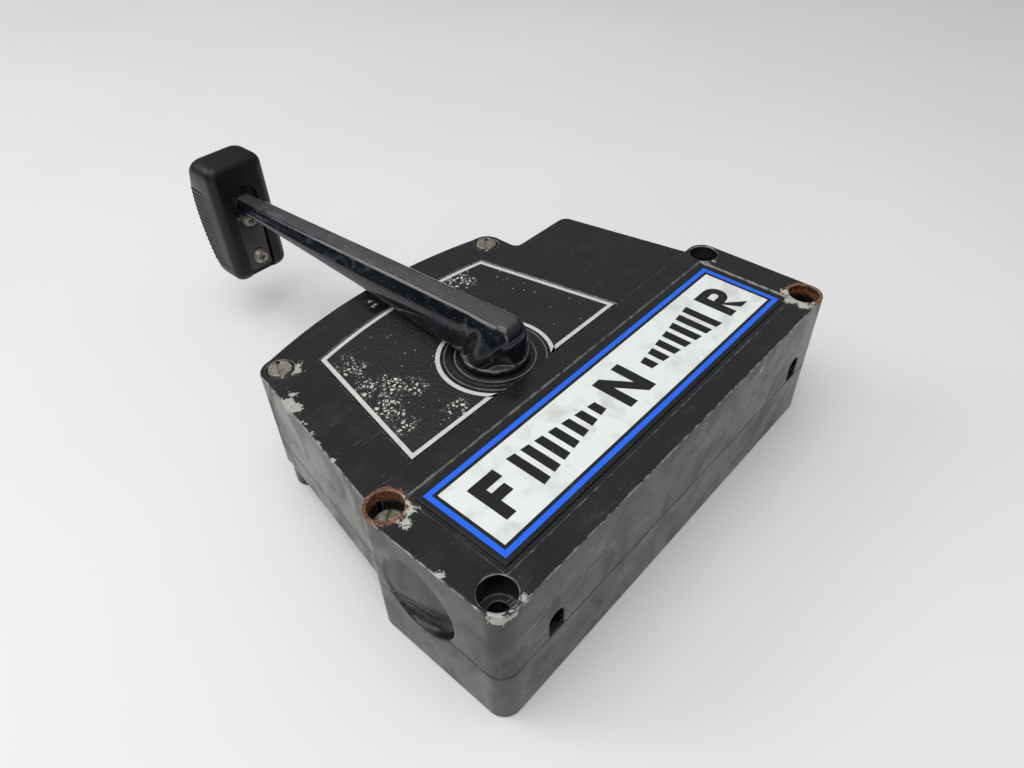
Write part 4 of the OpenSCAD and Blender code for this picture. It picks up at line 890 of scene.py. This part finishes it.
phenolic, tree, shader = new_finish("switch phenolic", {"Specular IOR Level": 0.45})
edge = put_group(tree, worn_edges, {"Reach": 0.0004, "Raggedness": 0.8, "Bias": -0.6})
fleck = clouds(tree, millimetres(tree), 2.0, 5.0)
colour = tint(tree, fleck, (0.016, 0.012, 0.010, 1), (0.045, 0.034, 0.028, 1))
give_look(tree, shader, colour, spread(tree, fleck, 0.3, 0.55), edge["Rounded"])
paint(phenolic, "switch_body")
nylon, tree, shader = new_finish("plunger nylon", {"Subsurface Weight": 0.05})
fleck = clouds(tree, millimetres(tree), 0.8, 4.0)
colour = tint(tree, fleck, (0.62, 0.60, 0.52, 1), (0.48, 0.45, 0.37, 1))
give_look(tree, shader, colour, spread(tree, fleck, 0.35, 0.5))
paint(nylon, "switch_plunger")
paint(machined("terminal brass", (0.72, 0.55, 0.25, 1), (0.48, 0.36, 0.17, 1), 0.28, 0.45, 3.0),
      "switch_terminals")


# ---------------------------------------------------------------- Cable ports
# Two rubber grommets line the holes where the throttle and shift cables come in.
# A cast aluminium clamp, held by two screws, grips both cables inside.

paint(rubber, "cable_grommets")
paint(machined("cast clamp aluminium", (0.52, 0.52, 0.51, 1), (0.36, 0.36, 0.35, 1), 0.42, 0.62, 1.0),
      "cable_clamp")


# ---------------------------------------------------------------- Floor, light and camera
# A pale paper floor under three soft lights, one overhead, one behind and a weak one in front. The sky is
# dark blue low down and pale above. The camera has the three-quarter view.

paper, tree, shader = new_finish("white sweep", {"Specular IOR Level": 0.25})
mottle = clouds(tree, millimetres(tree), 0.004, 5.0)
colour = tint(tree, mottle, (0.80, 0.80, 0.785, 1), (0.86, 0.86, 0.85, 1))
give_look(tree, shader, colour, spread(tree, mottle, 0.45, 0.6))

FLOOR_HALF, FLOOR_DROP = 3.0, 0.0002
floor = bmesh.new()
bmesh.ops.create_grid(floor, x_segments=1, y_segments=1, size=FLOOR_HALF,
                      matrix=Matrix.Translation((0.0, 0.0, -FLOOR_DROP)))
floor_mesh = bpy.data.meshes.new("floor")
floor.to_mesh(floor_mesh)
floor.free()
floor_mesh.materials.append(paper)
sweep = bpy.data.objects.new("floor", floor_mesh)
bpy.context.scene.collection.objects.link(sweep)

bpy.context.scene.view_settings.view_transform = "Standard"
world = bpy.data.worlds.new("studio")
bpy.context.scene.world = world
world.use_nodes = True
tree = world.node_tree
climb = shade(tree, "SeparateXYZ", {0: shade(tree, "TexCoord").outputs["Generated"]}).outputs["Z"]
sky = tint(tree, between(tree, climb, 0.05, 0.85), (0.10, 0.125, 0.17, 1), (0.96, 0.98, 1.0, 1))
tree.links.new(sky, tree.nodes["Background"].inputs["Color"])
tree.nodes["Background"].inputs["Strength"].default_value = 0.50


def softbox(name, place, aim, width, depth, power, colour):
    """A rectangular area light, pointed at a spot."""
    lamp = bpy.data.lights.new(name, "AREA")
    lamp.shape = "RECTANGLE"
    lamp.size, lamp.size_y = width, depth
    lamp.energy = power
    lamp.color = colour
    holder = bpy.data.objects.new(name, lamp)
    holder.location = place
    holder.rotation_euler = (Vector(aim) - Vector(place)).to_track_quat("-Z", "Y").to_euler()
    bpy.context.scene.collection.objects.link(holder)


softbox("overhead softbox", (-0.40, -0.05, 1.4), (0.05, 0.15, 0.0), 1.3, 1.3, 12.5, (1.0, 0.99, 0.97))
softbox("back softbox", (-0.9, 1.5, 1.3), (0.4, 1.2, 0.0), 1.2, 1.0, 13.0, (1.0, 1.0, 0.99))
softbox("front softbox", (-0.9, -0.8, 0.5), (0.0, 0.0, 0.08), 0.5, 0.8, 1.8, (1.0, 0.99, 0.97))

view = bpy.data.cameras.new("three quarter view")
view.sensor_width, view.lens = 36.0, 26.73
view.clip_start = 0.01
camera = bpy.data.objects.new("three quarter view", view)
eye, looking_at = Vector((-0.1916, -0.1902, 0.2997)), Vector((0.0246, 0.0132, 0.030))
camera.rotation_euler = ((looking_at - eye).to_track_quat("-Z", "Y").to_matrix()
                         @ Matrix.Rotation(math.radians(-2.06), 3, "Z")).to_euler()
camera.location = eye
bpy.context.scene.collection.objects.link(camera)
bpy.context.scene.camera = camera
